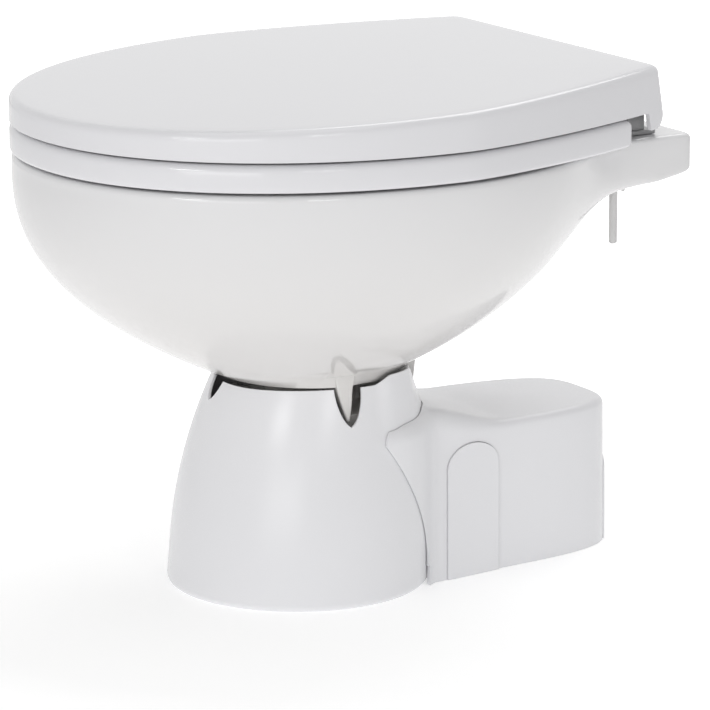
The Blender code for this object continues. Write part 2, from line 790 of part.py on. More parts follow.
def bowl_fin(number, degrees):
    """A tapering ceramic fin in one pedestal slot, its head leaning to one side."""
    head = FIN_HEAD_WIDTH / 2
    outline = (
        (FIN_LEAN - head / 2, FIN_TOP), (FIN_LEAN + head / 2, FIN_TOP),
        (FIN_LEAN + head, FIN_SHOULDER), (FIN_LEAN + FIN_NECK_WIDTH / 2, BELL_NECK_HEIGHT),
        (FIN_TIP_WIDTH / 2, FIN_TIP), (-FIN_TIP_WIDTH / 2, FIN_TIP),
        (FIN_LEAN - FIN_NECK_WIDTH / 2, BELL_NECK_HEIGHT), (FIN_LEAN - head, FIN_SHOULDER))
    fin = prism(f"fin_{number}", outline, FIN_ROOT, FIN_REACH - FIN_ROOT)
    fin.location = (0, BELL_NECK_Y, 0)
    fin.rotation_euler = (0, 0, math.radians(degrees - 90))
    return fin


def inlet_face():
    """The y of the inlet boss's flat end, flush with the bowl above it."""
    top = RIM_TOP - BOWL_BAND
    share = (top - INLET_Z - INLET_BOSS_RADIUS) / (top - BOWL_FOOT_TOP)
    _, _, rear, middle = bowl_section(share)
    return middle + rear


def make_bowl():
    angles = ring_angles((0, FRONT_STEPS), (math.pi / 2, SIDE_STEPS + CORNER_STEPS))
    bowl = loft("bowl", bowl_outside(angles), GLAZE, lids=(True, True))
    join(bowl, make_shelf_tool())
    join(bowl, rod("flange_tool", FLANGE_RADIUS, FLANGE_THICKNESS, None, ROUND_STEPS,
                   at=(0, OUTLET_Y, FLANGE_BOTTOM)))
    for number, degrees in enumerate(FIN_ANGLES, 1):
        join(bowl, bowl_fin(number, degrees))
    join(bowl, rod(
        "inlet_boss", INLET_BOSS_RADIUS, INLET_BOSS_DEPTH, None, SMALL_STEPS, axis="Y",
        at=(0, inlet_face() - INLET_BOSS_DEPTH, INLET_Z)))
    cut(bowl, loft("bowl_cavity", bowl_cavity(angles), lids=(True, True)))
    for number, degrees in enumerate(BOWL_BOLT_ANGLES, 1):
        x, y = on_bolt_circle(degrees)
        cut(bowl, rod(
            f"flange_hole_{number}", BOWL_BOLT_RADIUS + CLEARANCE,
            FLANGE_THICKNESS + 2 * BOWL_BOLT_STAND, None, HOLE_STEPS,
            at=(x, y, FLANGE_BOTTOM - BOWL_BOLT_STAND)))
        cut(bowl, rod(
            f"nut_room_{number}", NUT_RADIUS + NUT_CLEARANCE, BOWL_BOLT_STAND + NUT_CLEARANCE,
            None, HOLE_STEPS, at=(x, y, FLANGE_BOTTOM + FLANGE_THICKNESS)))
    for side in (-1, 1):
        at = (side * HINGE_BOLT_X, HINGE_BOLT_Y, SPOT_FACE_Z - OVERRUN)
        cut(bowl, rod(
            f"hinge_hole_{side}", HINGE_BOLT_RADIUS + CLEARANCE,
            SHELF_TOP - SPOT_FACE_Z + 2 * OVERRUN, None, HOLE_STEPS, at=at))
        cut(bowl, rod(
            f"spot_face_{side}", SPOT_FACE_RADIUS, 2 * OVERRUN, None, SMALL_STEPS,
            at=(side * HINGE_BOLT_X, HINGE_BOLT_Y, SPOT_FACE_Z - 2 * OVERRUN)))
    cut(bowl, rod(
        "inlet_hole", INLET_HOLE_RADIUS, SHELF_BACK - MOUTH_REAR, None, SMALL_STEPS,
        axis="Y", at=(0, MOUTH_REAR, INLET_Z)))
    return bowl


# Seat and lid

def seat_rows(angles):
    """Rows round the cross-section of the seat, outer side up and hole side down."""
    low = SEAT_BOTTOM
    high = SEAT_BOTTOM + SEAT_THICKNESS
    rows = []
    turns = [math.pi / 2 * i / (ARC_STEPS - 1) for i in range(ARC_STEPS)]

    def outer(inset, height):
        rows.append([
            polar(angle, seat_plan(angle, inset, SEAT_BACK), height) for angle in angles])

    def inner(inset, height):
        rows.append([polar(angle, hole_plan(angle, inset), height) for angle in angles])

    for turn in turns:
        outer(SEAT_FOOT_ROUND * (1 - math.sin(turn)),
              low + SEAT_FOOT_ROUND * (1 - math.cos(turn)))
    for turn in turns:
        outer(SEAT_ROUND * (1 - math.cos(turn)), high - SEAT_ROUND * (1 - math.sin(turn)))
    for turn in turns:
        inner(-SEAT_ROUND * (1 - math.sin(turn)), high - SEAT_ROUND * (1 - math.cos(turn)))
    for turn in turns:
        inner(-SEAT_FOOT_ROUND * (1 - math.cos(turn)),
              low + SEAT_FOOT_ROUND * (1 - math.sin(turn)))
    return rows


def knuckle(name, x, width=KNUCKLE_WIDTH):
    return rod(
        name, KNUCKLE_RADIUS, width, axis="X", at=(x - width / 2, HINGE_Y, HINGE_Z))


def pin_bore(name, side):
    """The bore that every knuckle of one side shares."""
    low, high = sorted((side * (PIN_START - OVERRUN), side * (POST_X + 2 * KNUCKLE_WIDTH)))
    return rod(name, PIN_RADIUS + CLEARANCE, high - low, None, HOLE_STEPS, "X",
               (low, HINGE_Y, HINGE_Z))


def make_seat():
    angles = cornered_angles(side_angle(SEAT_BACK))
    seat = loft("seat_ring", seat_rows(angles), SEAT_GLOSS, wrap=True)
    middle = SEAT_BOTTOM + SEAT_THICKNESS / 2
    for side in (-1, 1):
        x = side * SEAT_KNUCKLE_X
        outline = (
            (SEAT_BACK - SEAT_THICKNESS, middle - SEAT_ARM_THICKNESS / 2),
            (HINGE_Y, HINGE_Z - KNUCKLE_RADIUS),
            (HINGE_Y, HINGE_Z + PIN_RADIUS),
            (SEAT_BACK - SEAT_THICKNESS, middle + SEAT_ARM_THICKNESS / 2))
        join(seat, prism(
            f"seat_arm_{side}", outline, x - KNUCKLE_WIDTH / 2, KNUCKLE_WIDTH, axis="X"))
        join(seat, knuckle(f"seat_barrel_{side}", x))
        cut(seat, pin_bore(f"seat_bore_{side}", side))
    return seat


def lid_top(y):
    share = (y + SEAT_FRONT) / (LID_BACK + SEAT_FRONT)
    return LID_FRONT_TOP + (LID_REAR_TOP - LID_FRONT_TOP) * share


def lid_bottom(y):
    """The side wall reaches lower behind the hinge."""
    share = smooth_step(HINGE_Y - SKIRT_GAP_FRONT, HINGE_Y - SKIRT_GAP_BACK, y)
    return LID_EDGE_Z + (LID_SKIRT_Z - LID_EDGE_Z) * share


def lid_rows(angles):
    """Rows of the lid's outer skin from its lower edge to the middle of its top."""

    def row(inset, back_inset, height_of):
        points = []
        for angle in angles:
            distance = seat_plan(angle, inset, LID_BACK - back_inset)
            x, y, _ = polar(angle, distance, 0.0)
            points.append((x, y, height_of(y)))
        return points

    rows = []
    for i in range(ARC_STEPS):
        turn = math.pi / 2 * i / (ARC_STEPS - 1)
        rise = LID_SKIRT_ROUND * (1 - math.cos(turn))
        rows.append(row(
            0.0, LID_SKIRT_ROUND * (1 - math.sin(turn)),
            lambda y, rise=rise: lid_bottom(y) + rise))
    for i in range(ARC_STEPS + 1):
        turn = math.pi / 2 * i / ARC_STEPS
        inset = LID_EDGE_ROUND * (1 - math.cos(turn))
        drop = LID_EDGE_ROUND * (1 - math.sin(turn))
        rows.append(row(inset, LID_BACK_LEAN, lambda y, drop=drop: lid_top(y) - drop))
    edge = rows[-1]
    for share in LID_TOP_SHARES:
        crown = LID_CROWN * (1 - share * share)
        rows.append([(x * share, y * share, lid_top(y * share) + crown) for x, y, _ in edge])
    return rows


def lid_angles():
    """Columns that keep clear of the gap in the side wall beside the hinge."""
    front_edge = side_angle(HINGE_Y - SKIRT_GAP_FRONT)
    back_edge = side_angle(HINGE_Y - SKIRT_GAP_BACK)
    corner = side_angle(LID_BACK)
    return ring_angles(
        (0, FRONT_STEPS), (front_edge, SIDE_STEPS), (back_edge, 1),
        (corner + CORNER_SPREAD, CORNER_STEPS + 1), (math.pi / 2, BACK_STEPS))


def make_lid():
    angles = lid_angles()
    rows = lid_rows(angles)
    shape = bmesh.new()
    net = [[shape.verts.new(point) for point in row] for row in rows]
    count = len(angles)
    for below, above in zip(net, net[1:]):
        for i in range(count):
            j = (i + 1) % count
            shape.faces.new((below[i], below[j], above[j], above[i]))
    crown = shape.verts.new((0, 0, lid_top(0) + LID_CROWN))
    for i in range(count):
        shape.faces.new((net[-1][i], net[-1][(i + 1) % count], crown))
    lid = shell(from_bmesh("lid", shape, SEAT_GLOSS), LID_WALL)
    cut(lid, block(
        "lid_side_gap",
        (-SEAT_HALF_WIDTH, HINGE_Y - SKIRT_GAP_FRONT, LID_SKIRT_Z - OVERRUN),
        (SEAT_HALF_WIDTH, HINGE_Y - SKIRT_GAP_BACK, LID_EDGE_Z)))
    for side in (-1, 1):
        inner, outer = sorted((side * NOTCH_INNER_X, side * NOTCH_OUTER_X))
        cut(lid, block(
            f"lid_notch_{side}",
            (inner, HINGE_Y + KNUCKLE_RADIUS, LID_SKIRT_Z - OVERRUN),
            (outer, LID_BACK + OVERRUN, NOTCH_TOP)))
        middle = side * LID_KNUCKLE_X
        join(lid, block(
            f"lid_arm_{side}",
            (middle - KNUCKLE_WIDTH / 2, HINGE_Y - LID_ARM_THICKNESS / 2, HINGE_Z),
            (middle + KNUCKLE_WIDTH / 2, HINGE_Y + LID_ARM_THICKNESS / 2,
             lid_top(HINGE_Y) - LID_WALL / 2)))
        join(lid, knuckle(f"lid_barrel_{side}", middle))
        cut(lid, pin_bore(f"lid_bore_{side}", side))
    return lid


def make_bumpers():
    for number, degrees in enumerate(SEAT_BUMPER_ANGLES, 1):
        angle = math.radians(degrees)
        distance = seat_plan(angle, SEAT_BUMPER_INSET, SEAT_BACK)
        height = SEAT_BOTTOM - RIM_TOP - 2 * CLEARANCE
        rod(f"seat_bumper_{number}", SEAT_BUMPER_RADIUS, height, PALE_RUBBER,
            at=polar(angle, distance, RIM_TOP + CLEARANCE))
    for number, degrees in enumerate(LID_BUMPER_ANGLES, 1):
        angle = math.radians(degrees)
        x, y, _ = polar(angle, seat_plan(angle, LID_BUMPER_INSET, LID_BACK), 0.0)
        foot = SEAT_BOTTOM + SEAT_THICKNESS + CLEARANCE
        lowest = lid_top(y - LID_BUMPER_RADIUS) - LID_WALL
        rod(f"lid_bumper_{number}", LID_BUMPER_RADIUS, lowest - foot - CLEARANCE,
            PALE_RUBBER, at=(x, y, foot))


# Hinges and their fastenings

def make_post(side, label):
    level = SHELF_TOP + CLEARANCE
    x = side * POST_X
    low, high = sorted((side * FOOT_INNER_X, x + side * KNUCKLE_WIDTH / 2))
    post = block(
        f"hinge_post_{label}", (low, FOOT_FRONT_Y, level),
        (high, FOOT_BACK_Y, level + FOOT_THICKNESS), HINGE_PLASTIC)
    join(post, block(
        f"post_upright_{label}",
        (x - KNUCKLE_WIDTH / 2, HINGE_Y - KNUCKLE_RADIUS, level + FOOT_THICKNESS / 2),
        (x + KNUCKLE_WIDTH / 2, HINGE_Y + KNUCKLE_RADIUS, HINGE_Z)))
    join(post, knuckle(f"post_barrel_{label}", x))
    cut(post, pin_bore(f"post_bore_{label}", side))
    cut(post, rod(
        f"post_hole_{label}", HINGE_BOLT_RADIUS + CLEARANCE, FOOT_THICKNESS + 2 * OVERRUN,
        None, HOLE_STEPS, at=(side * HINGE_BOLT_X, HINGE_BOLT_Y, level - OVERRUN)))


def make_pin(side, label):
    """The pin through three knuckles, with a cap at its outer end."""
    length = POST_X + KNUCKLE_WIDTH / 2 + CLEARANCE - PIN_START
    profile = (
        (0.0, 0.0), (PIN_RADIUS, 0.0), (PIN_RADIUS, length), (PIN_CAP_RADIUS, length),
        (PIN_CAP_RADIUS, length + PIN_CAP_LENGTH), (0.0, length + PIN_CAP_LENGTH))
    pin = turned(f"hinge_pin_{label}", tuple(reversed(profile)), STEEL, SMALL_STEPS, "X",
                 (side * PIN_START, HINGE_Y, HINGE_Z))
    pin.rotation_euler = (0, side * math.pi / 2, 0)


def make_hinge_bolt(side, label):
    head_level = SHELF_TOP + 2 * CLEARANCE + FOOT_THICKNESS
    bolt_x = side * HINGE_BOLT_X
    profile = (
        (0.0, head_level + HINGE_BOLT_HEAD),
        (HINGE_BOLT_HEAD_RADIUS - BOLT_CHAMFER, head_level + HINGE_BOLT_HEAD),
        (HINGE_BOLT_HEAD_RADIUS, head_level + HINGE_BOLT_HEAD - BOLT_CHAMFER),
        (HINGE_BOLT_HEAD_RADIUS, head_level),
        (HINGE_BOLT_RADIUS, head_level),
        (HINGE_BOLT_RADIUS, HINGE_BOLT_BOTTOM + BOLT_CHAMFER),
        (HINGE_BOLT_RADIUS - BOLT_CHAMFER, HINGE_BOLT_BOTTOM),
        (0.0, HINGE_BOLT_BOTTOM))
    turned(f"hinge_bolt_{label}", profile, BOLT_NYLON, SMALL_STEPS,
           at=(bolt_x, HINGE_BOLT_Y, 0))
    washer_top = SPOT_FACE_Z - CLEARANCE
    ring(f"hinge_washer_{label}", WASHER_RADIUS, HINGE_BOLT_RADIUS + CLEARANCE,
         WASHER_THICKNESS, RUBBER, SMALL_STEPS,
         at=(bolt_x, HINGE_BOLT_Y, washer_top - WASHER_THICKNESS))
    nut_top = washer_top - WASHER_THICKNESS - CLEARANCE
    nut = rod(f"hinge_wing_nut_{label}", WING_HUB_RADIUS, WING_HEIGHT, BOLT_NYLON,
              at=(bolt_x, HINGE_BOLT_Y, nut_top - WING_HEIGHT))
    wings = block(
        f"wings_{label}", (-WING_SPAN, -WING_THICKNESS / 2, -WING_HEIGHT),
        (WING_SPAN, WING_THICKNESS / 2, -WING_HEIGHT / 4))
    wings.location = (bolt_x, HINGE_BOLT_Y, nut_top)
    join(nut, wings)
    cut(nut, rod(
        f"nut_bore_{label}", HINGE_BOLT_RADIUS + CLEARANCE, WING_HEIGHT + 2 * OVERRUN,
        None, HOLE_STEPS, at=(bolt_x, HINGE_BOLT_Y, nut_top - WING_HEIGHT - OVERRUN)))


# Pedestal and motor cover

def bell_radius(z):
    share = max(0.0, (z - BELL_WAIST_HEIGHT) / (BELL_NECK_HEIGHT - BELL_WAIST_HEIGHT))
    return BELL_RADIUS - (BELL_RADIUS - BELL_NECK_RADIUS) * share ** 2


def bell_centre(z):
    return BELL_BASE_Y + (BELL_NECK_Y - BELL_BASE_Y) * z / BELL_NECK_HEIGHT


def bell_rows(inflate=0.0, extend=0.0):
    """Rows from the floor to the edge under the bowl, which rises and folds in behind."""
    angles = [2 * math.pi * i / BELL_STEPS for i in range(BELL_STEPS)]

    def circle(radius, z, climb=0.0, lip=0.0):
        points = []
        fold = HOOD_FOLD * smooth_step(HOOD_LOW, BELL_NECK_HEIGHT, z)
        for angle in angles:
            depth = math.sin(angle)
            hood = climb * smooth_step(*HOOD_RISE_SHARES, depth)
            hood *= 1 - smooth_step(*HOOD_FALL_SHARES, depth)
            reach = radius + inflate + HOOD_SWELL * hood
            reach -= (fold + lip) * smooth_step(*HOOD_FOLD_SHARES, depth)
            height = z + HOOD_RISE * hood - NOSE_DIP * climb * max(0.0, -depth)
            points.append(polar(angle, reach, height, bell_centre(z)))
        return points

    rows = [circle(BELL_BASE_RADIUS, -extend)]
    rows.append(circle((BELL_BASE_RADIUS + BELL_RADIUS) / 2, BELL_BASE_ROUND / 4))
    rows.append(circle(bell_radius(BELL_BASE_ROUND), BELL_BASE_ROUND))
    for share in BELL_ROW_SHARES:
        z = BELL_WAIST_HEIGHT + (BELL_NECK_HEIGHT - BELL_WAIST_HEIGHT) * share
        rows.append(circle(bell_radius(z), z, share ** HOOD_CLIMB_POWER))
    rows.append(circle(BELL_NECK_RADIUS, BELL_NECK_HEIGHT, 1.0, HOOD_LIP))
    return rows


def bell_slot(number, degrees, tip):
    """A leaf-shaped notch in the pedestal's upper edge."""
    top = BELL_NECK_HEIGHT + HOOD_RISE + OVERRUN
    right = [(SLOT_WIDTH / 2, top)]
    for height, width in SLOT_SHARES:
        right.append((SLOT_WIDTH / 2 * width, tip + (BELL_NECK_HEIGHT - tip) * height))
    left = [(-x, z) for x, z in reversed(right)]
    outline = right + [(0.0, tip)] + left
    slot = prism(f"slot_{number}", outline, FIN_ROOT, BELL_RADIUS + OVERRUN - FIN_ROOT)
    slot.location = (0, BELL_NECK_Y, 0)
    slot.rotation_euler = (0, 0, math.radians(degrees - 90))
    return slot


def door_outline(half_width, shoulder, apex, steps, margin=0.0):
    """An arch: straight sides from below the floor and an elliptic head."""
    half_width += margin
    points = [(half_width, -OVERRUN)]
    for i in range(steps + 1):
        turn = math.pi * i / steps
        points.append((
            half_width * math.cos(turn),
            shoulder + (apex + margin - shoulder) * math.sin(turn)))
    points.append((-half_width, -OVERRUN))
    return points


def make_pedestal():
    bell = shell(loft("pedestal", bell_rows(), SHELL_PLASTIC), BELL_WALL)
    for number, slot in enumerate(SLOTS, 1):
        cut(bell, bell_slot(number, *slot))
    outline = door_outline(
        REAR_DOOR_HALF_WIDTH, REAR_DOOR_HEIGHT - REAR_DOOR_ROUND, REAR_DOOR_HEIGHT,
        PANEL_ARCH_STEPS)
    cut(bell, prism("rear_door", outline, REAR_DOOR_START, BELL_RADIUS))
    return bell


def cover_half_width(y, inflate):
    """The cover's plan: a long rounded box that widens twice towards the pedestal."""
    reach = max(0.0, y - COVER_CENTRE_Y) / (COVER_HALF_LENGTH + inflate)
    keep = (1 - min(1.0, reach) ** COVER_POWER) ** (1 / COVER_POWER)
    taper = NECK_TAPER * (1 - smooth_step(NECK_TAPER_START, NECK_TAPER_END, y))
    flare = NECK_FLARE * (1 - share_of(y, NECK_FLARE_END) ** NECK_FLARE_POWER) ** 2
    return (COVER_HALF_WIDTH + inflate) * keep + taper + flare


def cover_plan(inflate):
    """Points (x, y) of the cover's right half, from its open front to the back."""
    stops = [
        COVER_START + (NECK_FLARE_END - COVER_START) * i / COVER_NECK_STEPS
        for i in range(COVER_NECK_STEPS)]
    stops += [
        NECK_FLARE_END + (COVER_STRAIGHT - NECK_FLARE_END) * i / COVER_SIDE_STEPS
        for i in range(COVER_SIDE_STEPS + 1)]
    points = [(cover_half_width(y, inflate), y) for y in stops]
    length = COVER_HALF_LENGTH + inflate
    first = math.asin(((COVER_STRAIGHT - COVER_CENTRE_Y) / length) ** (COVER_POWER / 2))
    for i in range(1, COVER_END_STEPS + 1):
        turn = first + (math.pi / 2 - first) * i / COVER_END_STEPS
        y = COVER_CENTRE_Y + length * math.sin(turn) ** (2 / COVER_POWER)
        across = cover_half_width(y, inflate) if i < COVER_END_STEPS else 0.0
        points.append((across, y))
    return points


def neck_lift(y, z):
    """Sweep the box up towards the pedestal."""
    rise = 1 - smooth_step(NECK_RISE_START, NECK_RISE_END, y)
    return z * (1 + NECK_RISE * rise / COVER_TOP)


def cover_levels(y, inflate):
    """Insets and heights of the cover's skin over one plan point."""
    soft = 1 - smooth_step(NECK_EDGE_START, NECK_EDGE_END, y)
    edge = COVER_EDGE + (NECK_EDGE - COVER_EDGE) * soft
    straight = COVER_TOP - edge
    levels = [(COVER_DRAFT * share, straight * share) for share in COVER_ROW_SHARES]
    for i in range(1, ARC_STEPS + 1):
        turn = math.pi / 2 * i / ARC_STEPS
        levels.append((
            COVER_DRAFT + edge * (1 - math.cos(turn)),
            straight + (edge + inflate) * math.sin(turn)))
    return levels


def cover_rows(inflate):
    """Half rows of the skin from the floor edge over the rounded edge to the spine."""
    plan = cover_plan(inflate)
    end_length = COVER_CENTRE_Y + COVER_HALF_LENGTH - COVER_STRAIGHT
    columns = []
    for x, y in plan:
        column = []
        for inset, height in cover_levels(y, inflate):
            keep = 1 - inset / COVER_HALF_WIDTH
            at = y
            if y > COVER_STRAIGHT:
                at = COVER_STRAIGHT + (y - COVER_STRAIGHT) * (1 - inset / end_length)
            column.append((x * keep, at, neck_lift(at, height)))
        edge_x, edge_y, _ = column[-1]
        inner_y = min(edge_y, COVER_STRAIGHT)
        for share in COVER_TOP_SHARES + (0.0,):
            at = inner_y + (edge_y - inner_y) * share
            crown = COVER_CROWN * (1 - share * share)
            column.append((
                edge_x * share, at, neck_lift(at, COVER_TOP + inflate + crown)))
        columns.append(column)
    return [list(row) for row in zip(*columns)]


def cover_skin(name, inflate, look=None):
    rows = cover_rows(inflate)
    shape = bmesh.new()
    for side in (1, -1):
        net = [[shape.verts.new((side * x, y, z)) for x, y, z in row] for row in rows]
        for below, above in zip(net, net[1:]):
            for i in range(len(below) - 1):
                face = [below[i], below[i + 1], above[i + 1], above[i]]
                shape.faces.new(face if side > 0 else list(reversed(face)))
    bmesh.ops.remove_doubles(shape, verts=shape.verts, dist=WELD)
    bmesh.ops.dissolve_degenerate(shape, edges=shape.edges, dist=WELD)
    return from_bmesh(name, shape, look)


def seam_outline():
    """All that lies in front of the seam, as (y, z) points of a side view."""
    front = COVER_START - OVERRUN
    points = [(front, -OVERRUN), (SEAM_FOOT_Y, -OVERRUN)]
    for i in range(SEAM_STEPS + 1):
        share = i / SEAM_STEPS
        points.append((
            SEAM_FOOT_Y + (SEAM_FRONT_Y - SEAM_FOOT_Y) * share ** SEAM_POWER,
            SEAM_LOW + (SEAM_HIGH - SEAM_LOW) * share))
    for i in range(1, ARC_STEPS + 1):
        turn = math.pi / 2 * i / ARC_STEPS
        points.append((
            SEAM_TOP_Y + (SEAM_FRONT_Y - SEAM_TOP_Y) * math.cos(turn),
            SEAM_HIGH + (SEAM_TOP - SEAM_HIGH) * math.sin(turn)))
    points.append((SEAM_TOP_Y, BELL_NECK_HEIGHT))
    points.append((front, BELL_NECK_HEIGHT))
    return points


def make_cover():
    cover = shell(cover_skin("motor_cover", 0.0, SHELL_PLASTIC), COVER_WALL)
    cut(cover, loft("bell_print", bell_rows(COVER_TO_BELL, OVERRUN), lids=(True, True)))
    reach = BELL_RADIUS + OVERRUN
    cut(cover, prism("seam_cut", seam_outline(), -reach, 2 * reach, axis="X"))
    cut(cover, block(
        "release_slots", (-reach, SEAM_FOOT_Y - OVERRUN, -OVERRUN),
        (reach, SEAM_FOOT_Y + RELEASE_SLOT_WIDTH, RELEASE_SLOT_HEIGHT)))
    for label, tool in panel_tools(CLEARANCE):
        cut(cover, tool)
    return cover


def panel_tools(margin):
    """Arch-shaped prisms through the left, right and rear walls of the cover."""
    side_outline = door_outline(
        PANEL_HALF_WIDTH, PANEL_SHOULDER, PANEL_APEX, PANEL_ARCH_STEPS, margin)
    rear_outline = door_outline(
        REAR_PANEL_HALF_WIDTH, REAR_PANEL_SHOULDER, REAR_PANEL_APEX, PANEL_ARCH_STEPS, margin)
    aside = [(PANEL_Y + across, up) for across, up in side_outline]
    start = COVER_HALF_WIDTH - PANEL_REACH / 2
    rear_start = COVER_CENTRE_Y + COVER_HALF_LENGTH - PANEL_REACH
    mark = "cut" if margin else "fit"
    return (
        ("right", prism(f"arch_right_{mark}", aside, -start - PANEL_REACH, PANEL_REACH, "X")),
        ("left", prism(f"arch_left_{mark}", aside, start, PANEL_REACH, "X")),
        ("rear", prism(f"arch_rear_{mark}", rear_outline, rear_start, 2 * PANEL_REACH, "Y")),
    )


def make_panels():
    for label, tool in panel_tools(0.0):
        skin = cover_skin(f"hose_panel_{label}", PANEL_PROUD, SHELL_PLASTIC)
        combine(shell(skin, COVER_WALL), tool, "INTERSECT")


# Base plate

def make_base_plate():
    reach = BELL_BASE_RADIUS - BELL_WALL - CLEARANCE
    plate = rod("base_plate", reach, PLATE_THICKNESS, DARK_PLASTIC, BELL_STEPS,
                at=(0, BELL_BASE_Y, 0))
    inset = -COVER_WALL - CLEARANCE
    right = [(min(x, TONGUE_HALF_WIDTH), y) for x, y in cover_plan(inset)]
    outline = right + [(-x, y) for x, y in reversed(right[:-1])]
    shape = bmesh.new()
    face = shape.faces.new([shape.verts.new((x, y, 0)) for x, y in outline])
    grown = bmesh.ops.extrude_face_region(shape, geom=[face])
    moved = [part for part in grown["geom"] if isinstance(part, bmesh.types.BMVert)]
    bmesh.ops.translate(shape, verts=moved, vec=(0, 0, PLATE_THICKNESS))
    join(plate, from_bmesh("plate_tongue", shape))
    for number, degrees in enumerate(BOWL_BOLT_ANGLES, 1):
        x, y = on_bolt_circle(degrees)
        top = FLANGE_BOTTOM - CLEARANCE
        join(plate, rod(f"pillar_{number}", PILLAR_RADIUS, top - PLATE_THICKNESS / 2,
                        None, SMALL_STEPS, at=(x, y, PLATE_THICKNESS / 2)))
        depth = BOWL_BOLT_LENGTH - BOWL_BOLT_STAND - FLANGE_THICKNESS
        cut(plate, rod(
            f"pillar_bore_{number}", BOWL_BOLT_RADIUS + CLEARANCE, depth + OVERRUN,
            None, HOLE_STEPS, at=(x, y, top - depth - CLEARANCE)))
    for side in (-1, 1):
        for y in (DECK_HOLE_FRONT_Y, DECK_HOLE_REAR_Y):
            cut(plate, rod(
                f"deck_hole_{side}_{'front' if y < 0 else 'rear'}", DECK_HOLE_RADIUS,
                PLATE_THICKNESS + 2 * OVERRUN, None, HOLE_STEPS,
                at=(side * DECK_HOLE_X, y, -OVERRUN)))
    return plate


def make_bowl_fastenings():
    for number, degrees in enumerate(BOWL_BOLT_ANGLES, 1):
        x, y = on_bolt_circle(degrees)
        flange_top = FLANGE_BOTTOM + FLANGE_THICKNESS
        rod(f"bowl_bolt_{number}", BOWL_BOLT_RADIUS, BOWL_BOLT_LENGTH, STEEL, HOLE_STEPS,
            at=(x, y, flange_top + BOWL_BOLT_STAND - BOWL_BOLT_LENGTH))
        nut = rod(f"bowl_nut_{number}", NUT_RADIUS, NUT_HEIGHT, STEEL, 6,
                  at=(x, y, flange_top + CLEARANCE))
        cut(nut, rod(
            f"bowl_nut_bore_{number}", BOWL_BOLT_RADIUS + CLEARANCE,
            NUT_HEIGHT + 2 * OVERRUN, None, HOLE_STEPS, at=(x, y, flange_top - OVERRUN)))


# Pump and motor, laid along Y from the closed front of the macerator chamber

CHAMBER_BACK = CHAMBER_FRONT + CHAMBER_LENGTH
CUTTER_START = CHAMBER_BACK + CLEARANCE
VOLUTE_START = CUTTER_START + CUTTER_PLATE + CLEARANCE
SEAL_PLATE_START = VOLUTE_START + VOLUTE_LENGTH + CLEARANCE
MOTOR_START = SEAL_PLATE_START + SEAL_PLATE + CLEARANCE
MOTOR_BACK = MOTOR_START + MOTOR_LENGTH
END_CAP_START = MOTOR_BACK + CLEARANCE
SHAFT_BACK = END_CAP_START + BEARING_WIDTH
CHAMBER_BORE = CHAMBER_RADIUS - CHAMBER_WALL
NECK_PIPE_TOP = SPIGOT_BOTTOM - SEAL_THICKNESS - 2 * CLEARANCE
BEARING_START = SEAL_PLATE_START + SEAL_PLATE
SPOT_FACE_Z = shelf_underside(HINGE_BOLT_Y - SPOT_FACE_RADIUS)


def on_pump(y):
    return (PUMP_X, y, PUMP_Z)


def make_pump_housing():
    housing = rod("pump_housing", CHAMBER_RADIUS, CHAMBER_LENGTH, DARK_PLASTIC, ROUND_STEPS,
                  "Y", on_pump(CHAMBER_FRONT))
    join(housing, rod(
        "neck_pipe", NECK_PIPE_RADIUS, NECK_PIPE_TOP - NECK_PIPE_BOTTOM, None, ROUND_STEPS,
        at=(0, OUTLET_Y, NECK_PIPE_BOTTOM)))
    cut(housing, rod(
        "chamber_bore", CHAMBER_BORE, CHAMBER_LENGTH, None, ROUND_STEPS, "Y",
        on_pump(CHAMBER_FRONT + CHAMBER_WALL)))
    cut(housing, rod(
        "neck_bore", NECK_PIPE_BORE, NECK_PIPE_TOP, None, ROUND_STEPS,
        at=(0, OUTLET_Y, NECK_PIPE_BOTTOM + CHAMBER_WALL)))
    ring("outlet_seal", SPIGOT_RADIUS - CLEARANCE, NECK_PIPE_BORE, SEAL_THICKNESS, RUBBER,
         at=(0, OUTLET_Y, NECK_PIPE_TOP + CLEARANCE))


def make_cutter_plate():
    plate = ring("cutter_plate", CHAMBER_RADIUS, SHAFT_RADIUS + RUNNING, CUTTER_PLATE, STEEL,
                 axis="Y", at=on_pump(CUTTER_START))
    for i in range(CUTTER_HOLES):
        turn = 2 * math.pi * i / CUTTER_HOLES
        cut(plate, rod(
            f"cutter_hole_{i}", CUTTER_HOLE_RADIUS, CUTTER_PLATE + OVERRUN, None, 10, "Y",
            (PUMP_X + CUTTER_HOLE_CIRCLE * math.cos(turn), CUTTER_START - OVERRUN / 2,
             PUMP_Z + CUTTER_HOLE_CIRCLE * math.sin(turn))))


